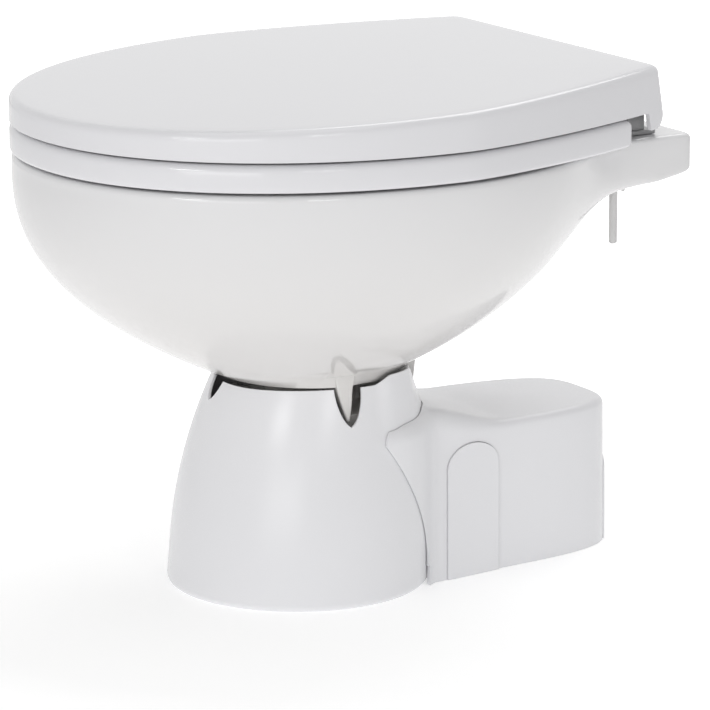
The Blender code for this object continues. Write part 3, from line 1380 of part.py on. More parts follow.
def make_volute():
    middle = VOLUTE_START + VOLUTE_LENGTH / 2
    volute = rod("pump_volute", CHAMBER_RADIUS, VOLUTE_LENGTH, DARK_PLASTIC, ROUND_STEPS,
                 "Y", on_pump(VOLUTE_START))
    join(volute, rod(
        "discharge_arm", DISCHARGE_ARM_RADIUS - CLEARANCE, DISCHARGE_X - PUMP_X, None,
        SMALL_STEPS, "X", (PUMP_X, middle, DISCHARGE_ARM_Z)))
    join(volute, rod(
        "discharge_spigot", DISCHARGE_SPIGOT_RADIUS,
        DISCHARGE_SPIGOT_TOP - DISCHARGE_ARM_Z + DISCHARGE_ARM_RADIUS, None, SMALL_STEPS,
        at=(DISCHARGE_X, middle, DISCHARGE_ARM_Z - DISCHARGE_ARM_RADIUS)))
    cut(volute, rod(
        "volute_bore", CHAMBER_BORE, VOLUTE_LENGTH + OVERRUN, None, ROUND_STEPS, "Y",
        on_pump(VOLUTE_START - OVERRUN / 2)))
    wall = DISCHARGE_SPIGOT_RADIUS - DISCHARGE_SPIGOT_BORE
    cut(volute, rod(
        "arm_bore", DISCHARGE_ARM_RADIUS - wall, DISCHARGE_X - PUMP_X, None, SMALL_STEPS,
        "X", (PUMP_X, middle, DISCHARGE_ARM_Z)))
    cut(volute, rod(
        "spigot_bore", DISCHARGE_SPIGOT_BORE, DISCHARGE_SPIGOT_TOP, None, SMALL_STEPS,
        at=(DISCHARGE_X, middle, DISCHARGE_ARM_Z)))


def make_seal_plate():
    inner = SHAFT_SEAL_RADIUS + CLEARANCE
    deep = SEAL_PLATE - CLEARANCE
    profile = (
        (CHAMBER_RADIUS, 0.0), (inner, 0.0), (inner, deep),
        (BEARING_RADIUS + CLEARANCE, deep),
        (BEARING_RADIUS + CLEARANCE, SEAL_PLATE + SEAL_PLATE_BOSS_LENGTH),
        (SEAL_PLATE_BOSS, SEAL_PLATE + SEAL_PLATE_BOSS_LENGTH),
        (SEAL_PLATE_BOSS, SEAL_PLATE), (CHAMBER_RADIUS, SEAL_PLATE))
    turned("seal_plate", profile, STEEL, axis="Y", at=on_pump(SEAL_PLATE_START))
    ring("shaft_seal", SHAFT_SEAL_RADIUS, SHAFT_RADIUS + RUNNING, SHAFT_SEAL_WIDTH, RUBBER,
         SMALL_STEPS, "Y", on_pump(SEAL_PLATE_START + CLEARANCE))


def make_motor():
    ring("motor_can", MOTOR_RADIUS, MOTOR_RADIUS - MOTOR_WALL, MOTOR_LENGTH, MOTOR_PAINT,
         axis="Y", at=on_pump(MOTOR_START))
    for label, y in (("front", BEARING_START), ("rear", END_CAP_START + CLEARANCE)):
        ring(f"bearing_{label}", BEARING_RADIUS, SHAFT_RADIUS + RUNNING, BEARING_WIDTH, STEEL,
             SMALL_STEPS, "Y", on_pump(y))
    inner = BEARING_RADIUS + CLEARANCE
    deep = BEARING_WIDTH + 2 * CLEARANCE
    profile = (
        (0.0, END_CAP_THICKNESS), (MOTOR_RADIUS - END_CAP_THICKNESS / 2, END_CAP_THICKNESS),
        (MOTOR_RADIUS, END_CAP_THICKNESS / 2), (MOTOR_RADIUS, 0.0),
        (inner, 0.0), (inner, deep), (0.0, deep))
    turned("motor_end_cap", profile, MOTOR_PAINT, axis="Y", at=on_pump(END_CAP_START))
    make_magnets()
    make_rotor()


def make_magnets():
    outer = MOTOR_RADIUS - MOTOR_WALL - CLEARANCE
    rotor_start = rotor_place()
    for label, middle in (("top", math.pi / 2), ("bottom", -math.pi / 2)):
        outline = []
        for radius, order in ((outer, 1), (MAGNET_INNER_RADIUS, -1)):
            for i in range(MAGNET_STEPS + 1):
                turn = middle + order * MAGNET_SPAN * (i / MAGNET_STEPS - 1 / 2)
                outline.append((
                    PUMP_X + radius * math.cos(turn), PUMP_Z + radius * math.sin(turn)))
        prism(f"magnet_{label}", outline, rotor_start, ROTOR_LENGTH, "Y", MAGNET_GREY)


def rotor_place():
    return MOTOR_START + ROTOR_GAP


def make_rotor():
    rod("motor_shaft", SHAFT_RADIUS, SHAFT_BACK - SHAFT_FRONT, STEEL, SMALL_STEPS, "Y",
        on_pump(SHAFT_FRONT))
    start = rotor_place()
    core = ring("rotor_core", ROTOR_RADIUS, SHAFT_RADIUS + CLEARANCE, ROTOR_LENGTH, STEEL,
                40, "Y", on_pump(start))
    for i in range(ROTOR_SLOTS):
        slot = block(
            f"rotor_slot_{i}",
            (ROTOR_RADIUS - ROTOR_SLOT_DEPTH, -OVERRUN, -ROTOR_SLOT_WIDTH / 2),
            (ROTOR_RADIUS + OVERRUN, ROTOR_LENGTH + OVERRUN, ROTOR_SLOT_WIDTH / 2))
        slot.location = on_pump(start)
        slot.rotation_euler = (0, 2 * math.pi * i / ROTOR_SLOTS, 0)
        cut(core, slot)
    commutator_start = start + ROTOR_LENGTH + COMMUTATOR_GAP
    ring("commutator", COMMUTATOR_RADIUS, SHAFT_RADIUS + CLEARANCE, COMMUTATOR_LENGTH, COPPER,
         ROUND_STEPS, "Y", on_pump(commutator_start))
    brush_y = commutator_start + (COMMUTATOR_LENGTH - BRUSH_WIDTH) / 2
    for label, side in (("left", 1), ("right", -1)):
        near = PUMP_X + side * (COMMUTATOR_RADIUS + RUNNING)
        far = near + side * BRUSH_LENGTH
        low, high = sorted((near, far))
        block(f"brush_{label}", (low, brush_y, PUMP_Z - BRUSH_WIDTH / 2),
              (high, brush_y + BRUSH_WIDTH, PUMP_Z + BRUSH_WIDTH / 2), CARBON)


def make_macerator_blade():
    """A two-ended cutter whose tips bend towards the cutter plate."""
    blade = ring("macerator_blade", BLADE_HUB_RADIUS, SHAFT_RADIUS + CLEARANCE,
                 BLADE_HUB_LENGTH, STEEL, SMALL_STEPS, "Y", on_pump(BLADE_Y))
    bend = BLADE_RADIUS - BLADE_TIP_BEND
    outline = (
        (-BLADE_RADIUS, BLADE_TIP_BEND), (-bend, 0.0), (bend, 0.0),
        (BLADE_RADIUS, BLADE_TIP_BEND), (BLADE_RADIUS, BLADE_TIP_BEND + BLADE_THICKNESS),
        (bend, BLADE_THICKNESS), (-bend, BLADE_THICKNESS),
        (-BLADE_RADIUS, BLADE_TIP_BEND + BLADE_THICKNESS))
    shape = bmesh.new()
    low = PUMP_Z - BLADE_WIDTH / 2
    face = shape.faces.new([
        shape.verts.new((PUMP_X + across, BLADE_Y + along, low)) for across, along in outline])
    grown = bmesh.ops.extrude_face_region(shape, geom=[face])
    moved = [part for part in grown["geom"] if isinstance(part, bmesh.types.BMVert)]
    bmesh.ops.translate(shape, verts=moved, vec=(0, 0, BLADE_WIDTH))
    join(blade, from_bmesh("blade_bar", shape))
    cut(blade, rod(
        "blade_bore", SHAFT_RADIUS + CLEARANCE, BLADE_HUB_LENGTH + OVERRUN, None,
        SMALL_STEPS, "Y", on_pump(BLADE_Y - OVERRUN / 2)))


def make_impeller():
    """A disc with swept vanes that faces the cutter plate."""
    back = SEAL_PLATE_START - 2 * CLEARANCE - IMPELLER_DISC
    impeller = rod("impeller", IMPELLER_RADIUS, IMPELLER_DISC, DARK_PLASTIC, ROUND_STEPS,
                   "Y", on_pump(back))
    join(impeller, rod(
        "impeller_hub", IMPELLER_HUB_RADIUS, IMPELLER_VANE_HEIGHT + IMPELLER_DISC / 2, None,
        SMALL_STEPS, "Y", on_pump(back - IMPELLER_VANE_HEIGHT)))
    for i in range(IMPELLER_VANES):
        vane = prism(f"vane_{i}", vane_outline(), -IMPELLER_VANE_HEIGHT,
                     IMPELLER_VANE_HEIGHT + IMPELLER_DISC / 2)
        vane.location = on_pump(back)
        vane.rotation_euler = (0, 2 * math.pi * i / IMPELLER_VANES, 0)
        join(impeller, vane)
    cut(impeller, rod(
        "impeller_bore", SHAFT_RADIUS + CLEARANCE, VOLUTE_LENGTH + OVERRUN, None,
        SMALL_STEPS, "Y", on_pump(VOLUTE_START)))


def vane_outline():
    inner = (SHAFT_RADIUS + IMPELLER_HUB_RADIUS) / 2
    outer = IMPELLER_RADIUS - IMPELLER_VANE_THICKNESS / 2
    near = []
    far = []
    for i in range(VANE_STEPS + 1):
        share = i / VANE_STEPS
        turn = IMPELLER_VANE_SWEEP * share
        radius = inner + (outer - inner) * share
        half = IMPELLER_VANE_THICKNESS / 2
        centre = Vector((radius * math.cos(turn), radius * math.sin(turn)))
        normal = Vector((-math.sin(turn), math.cos(turn)))
        near.append(tuple(centre + normal * half))
        far.append(tuple(centre - normal * half))
    return near + list(reversed(far))


def make_cradle():
    """The rubber saddle that carries the motor on the base plate."""
    start = MOTOR_START + (MOTOR_LENGTH - CRADLE_LENGTH) / 2
    cradle = block(
        "motor_cradle", (PUMP_X - CRADLE_HALF_WIDTH, start, PLATE_THICKNESS + CLEARANCE),
        (PUMP_X + CRADLE_HALF_WIDTH, start + CRADLE_LENGTH, CRADLE_TOP), RUBBER)
    cut(cradle, rod(
        "cradle_hollow", MOTOR_RADIUS + CLEARANCE, CRADLE_LENGTH + OVERRUN, None, ROUND_STEPS,
        "Y", on_pump(start - OVERRUN / 2)))


# Hose fittings

def barbed_profile(radius, length):
    """A solid hose tail from its root up, with saw-tooth barbs on the last part."""
    outer = [(0, 0), (radius, 0)]
    first = length - BARBS * BARB_PITCH
    for i in range(BARBS):
        foot = first + i * BARB_PITCH
        outer.append((radius, foot))
        outer.append((radius + BARB_HEIGHT, foot))
        outer.append((radius, foot + BARB_PITCH))
    outer.append((0, length))
    return outer


def hose_tail(name, radius, length, axis, at):
    profile = list(reversed(barbed_profile(radius, length)))
    return turned(name, profile, None, SMALL_STEPS, axis, at)


def make_discharge():
    y = VOLUTE_START + VOLUTE_LENGTH / 2
    cup_bore = DISCHARGE_SPIGOT_RADIUS + CLEARANCE + RING_WIDTH + SWIVEL_GAP
    cup_roof = DISCHARGE_SPIGOT_TOP + CLEARANCE
    elbow = rod("discharge_elbow", ELBOW_CUP_RADIUS, cup_roof + RING_WIDTH - ELBOW_CUP_BOTTOM,
                DARK_PLASTIC, at=(DISCHARGE_X, y, ELBOW_CUP_BOTTOM))
    join(elbow, rod(
        "elbow_knee", ELBOW_PIPE_RADIUS, ELBOW_Z + ELBOW_PIPE_RADIUS - cup_roof,
        at=(DISCHARGE_X, y, cup_roof)))
    join(elbow, hose_tail(
        "elbow_tail", ELBOW_PIPE_RADIUS - CLEARANCE, ELBOW_ARM, "Y", (DISCHARGE_X, y, ELBOW_Z)))
    knee = ELBOW_PIPE_BORE / 2
    cut(elbow, rod(
        "elbow_cup_bore", cup_bore, cup_roof - ELBOW_CUP_BOTTOM + OVERRUN,
        at=(DISCHARGE_X, y, ELBOW_CUP_BOTTOM - OVERRUN)))
    cut(elbow, rod(
        "elbow_bore_up", ELBOW_PIPE_BORE - CLEARANCE,
        ELBOW_Z + knee - cup_roof + OVERRUN / 2, None,
        SMALL_STEPS, at=(DISCHARGE_X, y, cup_roof - OVERRUN / 2)))
    cut(elbow, rod(
        "elbow_bore_out", ELBOW_PIPE_BORE, ELBOW_ARM + OVERRUN, None, SMALL_STEPS, "Y",
        (DISCHARGE_X, y - knee, ELBOW_Z)))
    ring("discharge_o_ring", DISCHARGE_SPIGOT_RADIUS + CLEARANCE + RING_WIDTH,
         DISCHARGE_SPIGOT_RADIUS + CLEARANCE, RING_WIDTH, RUBBER, SMALL_STEPS,
         at=(DISCHARGE_X, y, (ELBOW_CUP_BOTTOM + DISCHARGE_SPIGOT_TOP) / 2))
    joker_outer = ELBOW_PIPE_BORE - CLEARANCE
    profile = (
        (joker_outer - JOKER_WALL, 0.0), (JOKER_LIP - JOKER_WALL, JOKER_LENGTH),
        (JOKER_LIP, JOKER_LENGTH), (joker_outer, 0.0))
    turned("joker_valve", profile, RUBBER, SMALL_STEPS, "Y",
           (DISCHARGE_X, y + ELBOW_ARM - JOKER_LENGTH - BARB_PITCH, ELBOW_Z))


def make_inlet():
    wall_y = inlet_face()
    lip_radius = INLET_HOLE_RADIUS + GROMMET_LIP
    inner = INLET_PIPE_RADIUS + CLEARANCE
    profile = (
        (inner, -INLET_PLUNGE), (inner, GROMMET_LIP_THICKNESS + CLEARANCE),
        (lip_radius, GROMMET_LIP_THICKNESS + CLEARANCE), (lip_radius, CLEARANCE),
        (INLET_HOLE_RADIUS - CLEARANCE, CLEARANCE),
        (INLET_HOLE_RADIUS - CLEARANCE, -INLET_PLUNGE))
    turned("inlet_grommet", profile, RUBBER, SMALL_STEPS, "Y", (0, wall_y, INLET_Z))
    knee_y = wall_y + INLET_REACH
    elbow = rod(
        "inlet_elbow", INLET_PIPE_RADIUS, INLET_PLUNGE + INLET_REACH + INLET_PIPE_RADIUS,
        DARK_PLASTIC, SMALL_STEPS, "Y", (0, wall_y - INLET_PLUNGE, INLET_Z))
    tail = hose_tail(
        "inlet_tail", INLET_PIPE_RADIUS - CLEARANCE, INLET_ARM, "Z", (0, knee_y, INLET_Z))
    tail.rotation_euler = (0, -math.pi / 2, 0)
    join(elbow, tail)
    cut(elbow, rod(
        "inlet_bore_in", INLET_PIPE_BORE, INLET_PLUNGE + INLET_REACH + OVERRUN, None,
        SMALL_STEPS, "Y", (0, wall_y - INLET_PLUNGE - OVERRUN, INLET_Z)))
    cut(elbow, rod(
        "inlet_bore_aside", INLET_PIPE_BORE, INLET_ARM + OVERRUN, None, SMALL_STEPS, "X",
        (-INLET_ARM - OVERRUN, knee_y, INLET_Z)))


make_bowl()
make_seat()
make_lid()
make_bumpers()
for hinge_side, hinge_label in ((1, "left"), (-1, "right")):
    make_post(hinge_side, hinge_label)
    make_pin(hinge_side, hinge_label)
    make_hinge_bolt(hinge_side, hinge_label)
make_pedestal()
make_cover()
make_panels()
make_base_plate()
make_bowl_fastenings()
make_pump_housing()
make_cutter_plate()
make_volute()
make_seal_plate()
make_motor()
make_macerator_blade()
make_impeller()
make_cradle()
make_discharge()
make_inlet()
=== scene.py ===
import json
import math

import bmesh
import bpy
from mathutils import Matrix, Vector

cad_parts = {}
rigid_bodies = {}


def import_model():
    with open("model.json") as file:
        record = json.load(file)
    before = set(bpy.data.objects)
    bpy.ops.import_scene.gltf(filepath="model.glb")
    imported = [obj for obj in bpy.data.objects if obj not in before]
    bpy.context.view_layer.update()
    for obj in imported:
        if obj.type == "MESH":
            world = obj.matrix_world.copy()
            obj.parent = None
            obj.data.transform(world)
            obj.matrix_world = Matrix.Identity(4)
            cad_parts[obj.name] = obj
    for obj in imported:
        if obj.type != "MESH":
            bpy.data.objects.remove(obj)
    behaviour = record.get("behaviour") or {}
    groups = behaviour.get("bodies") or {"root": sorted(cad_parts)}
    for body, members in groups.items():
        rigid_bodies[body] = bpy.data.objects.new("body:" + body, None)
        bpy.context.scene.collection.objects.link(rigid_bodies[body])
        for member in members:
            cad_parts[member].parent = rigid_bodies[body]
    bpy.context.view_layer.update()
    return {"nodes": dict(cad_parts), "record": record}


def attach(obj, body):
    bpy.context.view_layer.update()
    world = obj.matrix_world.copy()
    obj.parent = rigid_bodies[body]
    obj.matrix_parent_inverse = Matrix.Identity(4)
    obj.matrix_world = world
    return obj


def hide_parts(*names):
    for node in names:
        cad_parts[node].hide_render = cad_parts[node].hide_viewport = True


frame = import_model()

# Sizes in metres: nearly all are those of the solids, and the step counts are finer

BELL_NECK_HEIGHT = 0.1500
SEAT_HALF_WIDTH = 0.1850
SEAT_FRONT = 0.2232
SEAT_REAR_REACH = 0.3727
FRONT_POWER = 2.10
REAR_POWER = 1.364
CORNER_POWER = 80
CORNER_SPREAD = math.radians(4)
RIM_TOP = BELL_NECK_HEIGHT + 0.1587
BOWL_HALF_WIDTH = SEAT_HALF_WIDTH - 0.0005
BOWL_FRONT = SEAT_FRONT - 0.0014
BOWL_REAR = 0.2174
BOWL_FRONT_POWER = 2.10
BOWL_REAR_POWER = 1.75
BOWL_BAND = 0.0060
BELLY_TOP = RIM_TOP - BOWL_BAND
FOOT_FRONT = 0.0705
FOOT_HALF_WIDTH = 0.0509
FOOT_REAR = 0.0349
FOOT_CENTRE_Y = -0.0103
FRONT_FALL = (2.460, 0.968)
REAR_FALL = (1.460, 1.424)
FOOT_ROW_SHARES = ((0.62, 0.0), (0.86, 0.65))
BOWL_SEAT_RADIUS = 0.0700
BOWL_SEAT_TOP = BELL_NECK_HEIGHT + 0.0013
RIM_ROUND = 0.0035
BOWL_WALL = 0.0095
LIP_DEPTH = 0.0230
LIP_THICKNESS = 0.0070
MOUTH_HALF_WIDTH = BOWL_HALF_WIDTH - 0.0665
MOUTH_FRONT = BOWL_FRONT - 0.0658
MOUTH_REAR = 0.1250
MOUTH_POWER = 2.15
OUTLET_Y = -0.0120
OUTLET_BORE = 0.0250
SPIGOT_RADIUS = 0.0340
SPIGOT_BOTTOM = BELL_NECK_HEIGHT - 0.0320
SPIGOT_TOP = SPIGOT_BOTTOM + 0.0260
SHELF_HALF_WIDTH = BOWL_HALF_WIDTH - 0.0560
SHELF_BACK = 0.2190
SHELF_TOP = RIM_TOP + 0.0041
SHELF_BACK_THICKNESS = 0.0262
SHELF_SLOPE = 0.182
SHELF_ROUND = 0.0042
SPOT_FACE_RADIUS = 0.0140
FLANGE_BOTTOM = SPIGOT_BOTTOM + 0.0020
FLANGE_THICKNESS = 0.0100
FLANGE_RADIUS = 0.0660
BOLT_CIRCLE = 0.0575
BOWL_BOLT_ANGLES = (25, 155, 205, 335)
BOWL_BOLT_RADIUS = 0.0030
FIN_ANGLES = (-12, 78, 168)
FIN_HEAD_WIDTH = 0.0146
FIN_NECK_WIDTH = 0.0112
FIN_TIP_WIDTH = 0.0024
FIN_TOP = BELL_NECK_HEIGHT + 0.0140
FIN_SHOULDER = FIN_TOP - 0.0050
FIN_TIP = FIN_TOP - 0.0370
FIN_LEAN = 0.0024
FIN_ROOT = 0.0300
FIN_REACH = 0.0726
FIN_SOFT = 0.0016
FIN_CROWN = (0.72, 0.0012)
BELL_RADIUS = 0.0920
BELL_NECK_RADIUS = 0.0703
BELL_BASE_RADIUS = 0.0880
BELL_WAIST_HEIGHT = 0.0300
BELL_BASE_Y = -0.0242
BELL_NECK_Y = -0.0104
BELL_WALL = 0.0035
BELL_BASE_ROUND = 0.0050
BASE_STEPS = 4
BELL_STEPS = 200
NOSE_DIP = 0.0032
HOOD_RISE = 0.0062
HOOD_SWELL = 0.0036
HOOD_CLIMB_POWER = 4
HOOD_FOLD = 0.0040
HOOD_LIP = 0.0010
HOOD_LOW = BELL_NECK_HEIGHT - 0.0500
FOOT_STEP_SHARES = (-0.25, 0.0)
HOOD_RISE_SHARES = (0.08, 0.26)
HOOD_FALL_SHARES = (0.50, 0.82)
HOOD_FOLD_SHARES = (0.45, 0.85)
SLOT_WIDTH = 0.0195
SLOT_TIPS = (BELL_NECK_HEIGHT - 0.0180, BELL_NECK_HEIGHT - 0.0255)
SLOTS = ((-102, SLOT_TIPS[0]), *((degrees, SLOT_TIPS[1]) for degrees in FIN_ANGLES))
SLOT_SHARES = ((0.66, 0.92), (0.34, 0.68), (0.12, 0.36), (0.02, 0.07))
REAR_DOOR_HALF_WIDTH = 0.0500
REAR_DOOR_HEIGHT = BELL_NECK_HEIGHT - 0.0340
REAR_DOOR_ROUND = 0.0200
REAR_DOOR_START = 0.0100
COVER_HALF_WIDTH = 0.0587
COVER_CENTRE_Y = 0.0497
COVER_HALF_LENGTH = 0.1696
COVER_POWER = 3.60
COVER_TOP = BELL_NECK_HEIGHT - 0.0435
COVER_WALL = 0.0030
COVER_EDGE = 0.0055
NECK_EDGE = 0.0125
NECK_EDGE_RANGE = (0.0600, 0.1300)
COVER_DRAFT = 0.0010
COVER_START = -0.0038
COVER_STRAIGHT = 0.1250
COVER_NECK_STEPS = 26
COVER_SIDE_STEPS = 18
COVER_END_STEPS = 22
COVER_ROW_SHARES = tuple(i / 12 for i in range(13))
COVER_TOP_SHARES = (0.90, 0.75, 0.60, 0.45, 0.30, 0.15, 0.0)
COVER_CROWN = 0.0010
NECK_RISE = 0.0175
NECK_RISE_RANGE = (0.0400, 0.1200)
NECK_TAPER = 0.0065
NECK_TAPER_RANGE = (0.0400, 0.1300)
NECK_FLARE = 0.0206
NECK_FLARE_END = 0.0515
NECK_FLARE_POWER = 3
COVER_TO_BELL = 0.0005
RELEASE_SLOT_WIDTH = 0.0020
RELEASE_SLOT_HEIGHT = 0.0145
SEAM_FOOT_Y = 0.0397
SEAM_FRONT_Y = -0.0028
SEAM_LOW = 0.0150
SEAM_HIGH = COVER_TOP + 0.0025
SEAM_POWER = 1.6
SEAM_TOP_Y = 0.0142
SEAM_TOP = SEAM_HIGH + 0.0146
SEAM_STEPS = 28
PANEL_Y = 0.0822
PANEL_HALF_WIDTH = 0.0227
PANEL_APEX = COVER_TOP - 0.0107
PANEL_SHOULDER = PANEL_APEX - 0.0168
REAR_PANEL_HALF_WIDTH = 0.0330
REAR_PANEL_SHOULDER = 0.0500
REAR_PANEL_APEX = 0.0670
PANEL_PROUD = 0.0012
PANEL_ARCH_STEPS = 36
PANEL_REACH = 0.0250
SEAT_BOTTOM = RIM_TOP + 0.0020
SEAT_THICKNESS = 0.0189
SEAT_BACK = 0.1605
SEAT_ROUND = 0.0055
SEAT_FOOT_ROUND = 0.0030
HOLE_HALF_WIDTH = SEAT_HALF_WIDTH - 0.0730
HOLE_FRONT = SEAT_FRONT - 0.0752
HOLE_REAR = 0.1180
SEAT_BUMPER_RADIUS = 0.0090
SEAT_BUMPER_ANGLES = (-125, -55, 22, 158)
SEAT_BUMPER_INSET = 0.0260
SEAT_BUMPER_SOFT = 0.0006
LID_EDGE_Z = SEAT_BOTTOM + SEAT_THICKNESS + 0.0016
LID_SKIRT_Z = SHELF_TOP + 0.0058
LID_BACK = 0.1985
LID_BACK_LEAN = 0.0070
LID_FRONT_TOP = LID_EDGE_Z + 0.0178
LID_REAR_TOP = LID_EDGE_Z + 0.0320
LID_CROWN = 0.0012
LID_WALL = 0.0034
LID_EDGE_ROUND = 0.0055
LID_SKIRT_ROUND = 0.0080
LID_BUMPER_RADIUS = 0.0070
LID_BUMPER_ANGLES = (-118, -62)
LID_BUMPER_INSET = 0.0300
LID_BUMPER_SOFT = 0.0010
HINGE_Y = 0.1795
HINGE_Z = SHELF_TOP + 0.0222
KNUCKLE_RADIUS = 0.0070
PIN_RADIUS = 0.0030
PIN_CAP_RADIUS = 0.0048
PIN_CAP_LENGTH = 0.0015
KNUCKLE_PITCH = 0.0105
POST_X = SEAT_HALF_WIDTH - 0.0730
SEAT_KNUCKLE_X = POST_X - KNUCKLE_PITCH
LID_KNUCKLE_X = SEAT_KNUCKLE_X - KNUCKLE_PITCH
PIN_START = LID_KNUCKLE_X - 0.0055
KNUCKLE_WIDTH = 0.0100
HALF_KNUCKLE = KNUCKLE_WIDTH / 2
PIN_BORE_END = POST_X + 0.6 * KNUCKLE_WIDTH
SEAT_ARM_THICKNESS = 0.0090
LID_ARM_THICKNESS = 0.0080
NOTCH_OUTER_X = POST_X + 0.0065
NOTCH_INNER_X = NOTCH_OUTER_X - 0.0545
NOTCH_TOP = HINGE_Z + 0.0120
FOOT_INNER_X = POST_X - 0.0455
FOOT_FRONT_Y = 0.1690
FOOT_BACK_Y = 0.1945
POST_RECESS = 0.0025
FOOT_THICKNESS = 0.0032
POST_SOFT = 0.0008
HINGE_BOLT_X = FOOT_INNER_X + 0.0110
HINGE_BOLT_Y = 0.1874
HINGE_BOLT_RADIUS = 0.0030
HINGE_BOLT_BOTTOM = SHELF_TOP - 0.0836
HINGE_BOLT_HEAD_RADIUS = 0.0062
HINGE_BOLT_HEAD = 0.0026
BOLT_CHAMFER = 0.0012
WASHER_RADIUS = 0.0110
WASHER_THICKNESS = 0.0022
WING_HUB_RADIUS = 0.0058
WING_HEIGHT = 0.0070
WING_SPAN = 0.0130
WING_THICKNESS = 0.0024
HUB_SOFT = 0.0006
WING_SOFT = 0.0009
INLET_Z = RIM_TOP - 0.0637
INLET_HOLE_RADIUS = 0.0110
INLET_BOSS_RADIUS = 0.0155
INLET_BOSS_DEPTH = 0.0350
INLET_BOSS_SOFT = 0.0012
GROMMET_LIP = 0.0030
GROMMET_LIP_THICKNESS = 0.0030
INLET_PIPE_RADIUS = 0.0085
INLET_PIPE_BORE = 0.0062
INLET_REACH = 0.0125
INLET_ARM = 0.0420
INLET_PLUNGE = 0.0200
ELBOW_SOFT = 0.0014
BARB_HEIGHT = 0.0012
BARB_PITCH = 0.0080
BARBS = 2
CLEARANCE = 0.0003
RUNNING = 0.0004
OVERRUN = 0.0100
WELD = 0.00001
SMALL_STEPS = 36
HOLE_STEPS = 28
ARC_STEPS = 7
ROD_ARC_STEPS = 4
SHARP_ANGLE = math.radians(35)
AXIS_TURNS = {"X": (0, math.pi / 2, 0), "Y": (-math.pi / 2, 0, 0), "Z": (0, 0, 0)}
BOX_FACES = ((0, 1, 3, 2), (4, 6, 7, 5), (0, 4, 5, 1), (2, 3, 7, 6), (0, 2, 6, 4), (1, 5, 7, 3))

# Sizes that only the dressed pieces have, and how finely they are divided

SHELF_POWER = 60
MERGE_POWER = 120
BELLY_START = 0.940
BELLY_SPREAD = 0.8
PLAIN_START = 0.34
BELLY_ROWS, FILLET_ROWS, UNDER_ROWS, CORNER_ROWS, FACE_ROWS, BRIM_ROWS = 34, 8, 10, 5, 4, 5
BOWL_STOPS = (0, 34, 56, 63, 90)
BOWL_COUNTS = (44, 16, 24, 18, 12)
SEAT_COUNTS = (44, 24, 12, 10)
LID_COUNTS = (44, 20, 14, 24, 12)
CROSSING_RANGE = (0.02, 0.60)
CROSSING_TURNS = 30
SHELF_BLEND = (math.radians(36), math.radians(54))
STEP_RANGE = (0.1560, 0.1660)
FILLET = 0.0080
FILLET_SHARE = 0.050
WIDE_FILLET = 0.0260
WIDE_SHARE = 0.180
FILLET_RUN = 0.6
FILLET_RANGE = (math.radians(46), math.radians(62))
TOP_ROWS = 22
SOFTEN_TURNS = 60
SOFTEN_PULL = 0.6
SOFTEN_LOW = 0.225
SOFTEN_SIDE = 0.080
SOFTEN_FADE = 0.012
SOFTEN_START = (0.085, 0.115)
SOFTEN_END = (0.165, 0.190)
MOUTH_ROUND = 0.0050
LIP_STEPS = 6
LIP_SHARES = (0.15, 0.85)
CAVITY_ROWS = 16
CAVITY_SHARES = (0.17, 0.93)
SHOWN_WALL = 0.0018
LOBE_RANGE = (0.1772, 0.1812)
SKIRT_RANGE = (0.150, 0.176)
LID_LIP = 0.0012
LID_WALL_STEPS = 8
LID_TOP_SHARES = (0.96, 0.9, 0.8, 0.7, 0.6, 0.5, 0.4, 0.3, 0.2, 0.1)
BELL_SHARES = tuple(i / 26 for i in range(26))

# Finishes, floor, lights and camera

CLOUD_GRAIN = 12
FINE_GRAIN = 20
GRAIN_STRENGTH = 0.35
PEEL_STRENGTH = 0.5
LEAST_ROUGH = 0.02
COAT_ROUGH = 0.04
FLOOR_SIZE = 12.0
FLOOR_GRAIN = 40
FLOOR_ROUGH = (0.8, 1.0)
FLOOR_GLOW = 0.38
FAR_GLOW = 0.62
GLOW_START = 0.30
GLOW_END = 0.95
AMBIENT = 0.36
LOOK_AT = (0.0, 0.0, 0.17)
SOFTBOXES = (
    ("left_softbox", -64, 24, 2.5, (0.62, 0.17), 5.2),
    ("right_softbox", -13, 24, 2.5, (0.50, 0.15), 3.2),
    ("front_low", -50, 5, 2.8, (1.6, 0.7), 8),
    ("rear_top", 125, 52, 2.6, (1.6, 1.2), 17),
    ("overhead", -30, 82, 2.6, (1.8, 1.8), 12))
CAMERA_AZIMUTH = 1.0196
CAMERA_ELEVATION = 0.2359
CAMERA_DISTANCE = 3.1066
CAMERA_FOCUS = 4454.4
CAMERA_SHIFT = 0.0197
CAMERA_HEIGHT = 0.1564
PHOTO_SIZE = 710
SENSOR_WIDTH = 36


def smooth_step(low, high, value):
    share = min(1.0, max(0.0, (value - low) / (high - low)))
    return share * share * (3 - 2 * share)


def blend(first, last, share):
    return first + (last - first) * share


def shares(count):
    return [(i + 1) / count for i in range(count)]


def quarter(radius, steps, first=0):
    """Steps along a quarter round: what is left to go one way, what is gained the other."""
    turns = [math.pi / 2 * i / steps for i in range(first, steps + 1)]
    return [(radius * (1 - math.sin(turn)), radius * (1 - math.cos(turn))) for turn in turns]


def ring_angles(ends, counts):
    """Angles round a ring, with so many steps up to each end, the last at the back."""
    angles = [-math.pi / 2]
    for end, steps in zip(ends, counts):
        start = angles[-1]
        angles += [start + (end - start) * i / steps for i in range(1, steps + 1)]
    return angles + [math.pi - angle for angle in reversed(angles[1:-1])]


def egg(angle, half_width, front, rear, front_power, rear_power):
    forward = math.sin(angle) < 0
    length = front if forward else rear
    power = front_power if forward else rear_power
    across = abs(math.cos(angle)) / half_width
    along = abs(math.sin(angle)) / length
    return (across ** power + along ** power) ** (-1 / power)


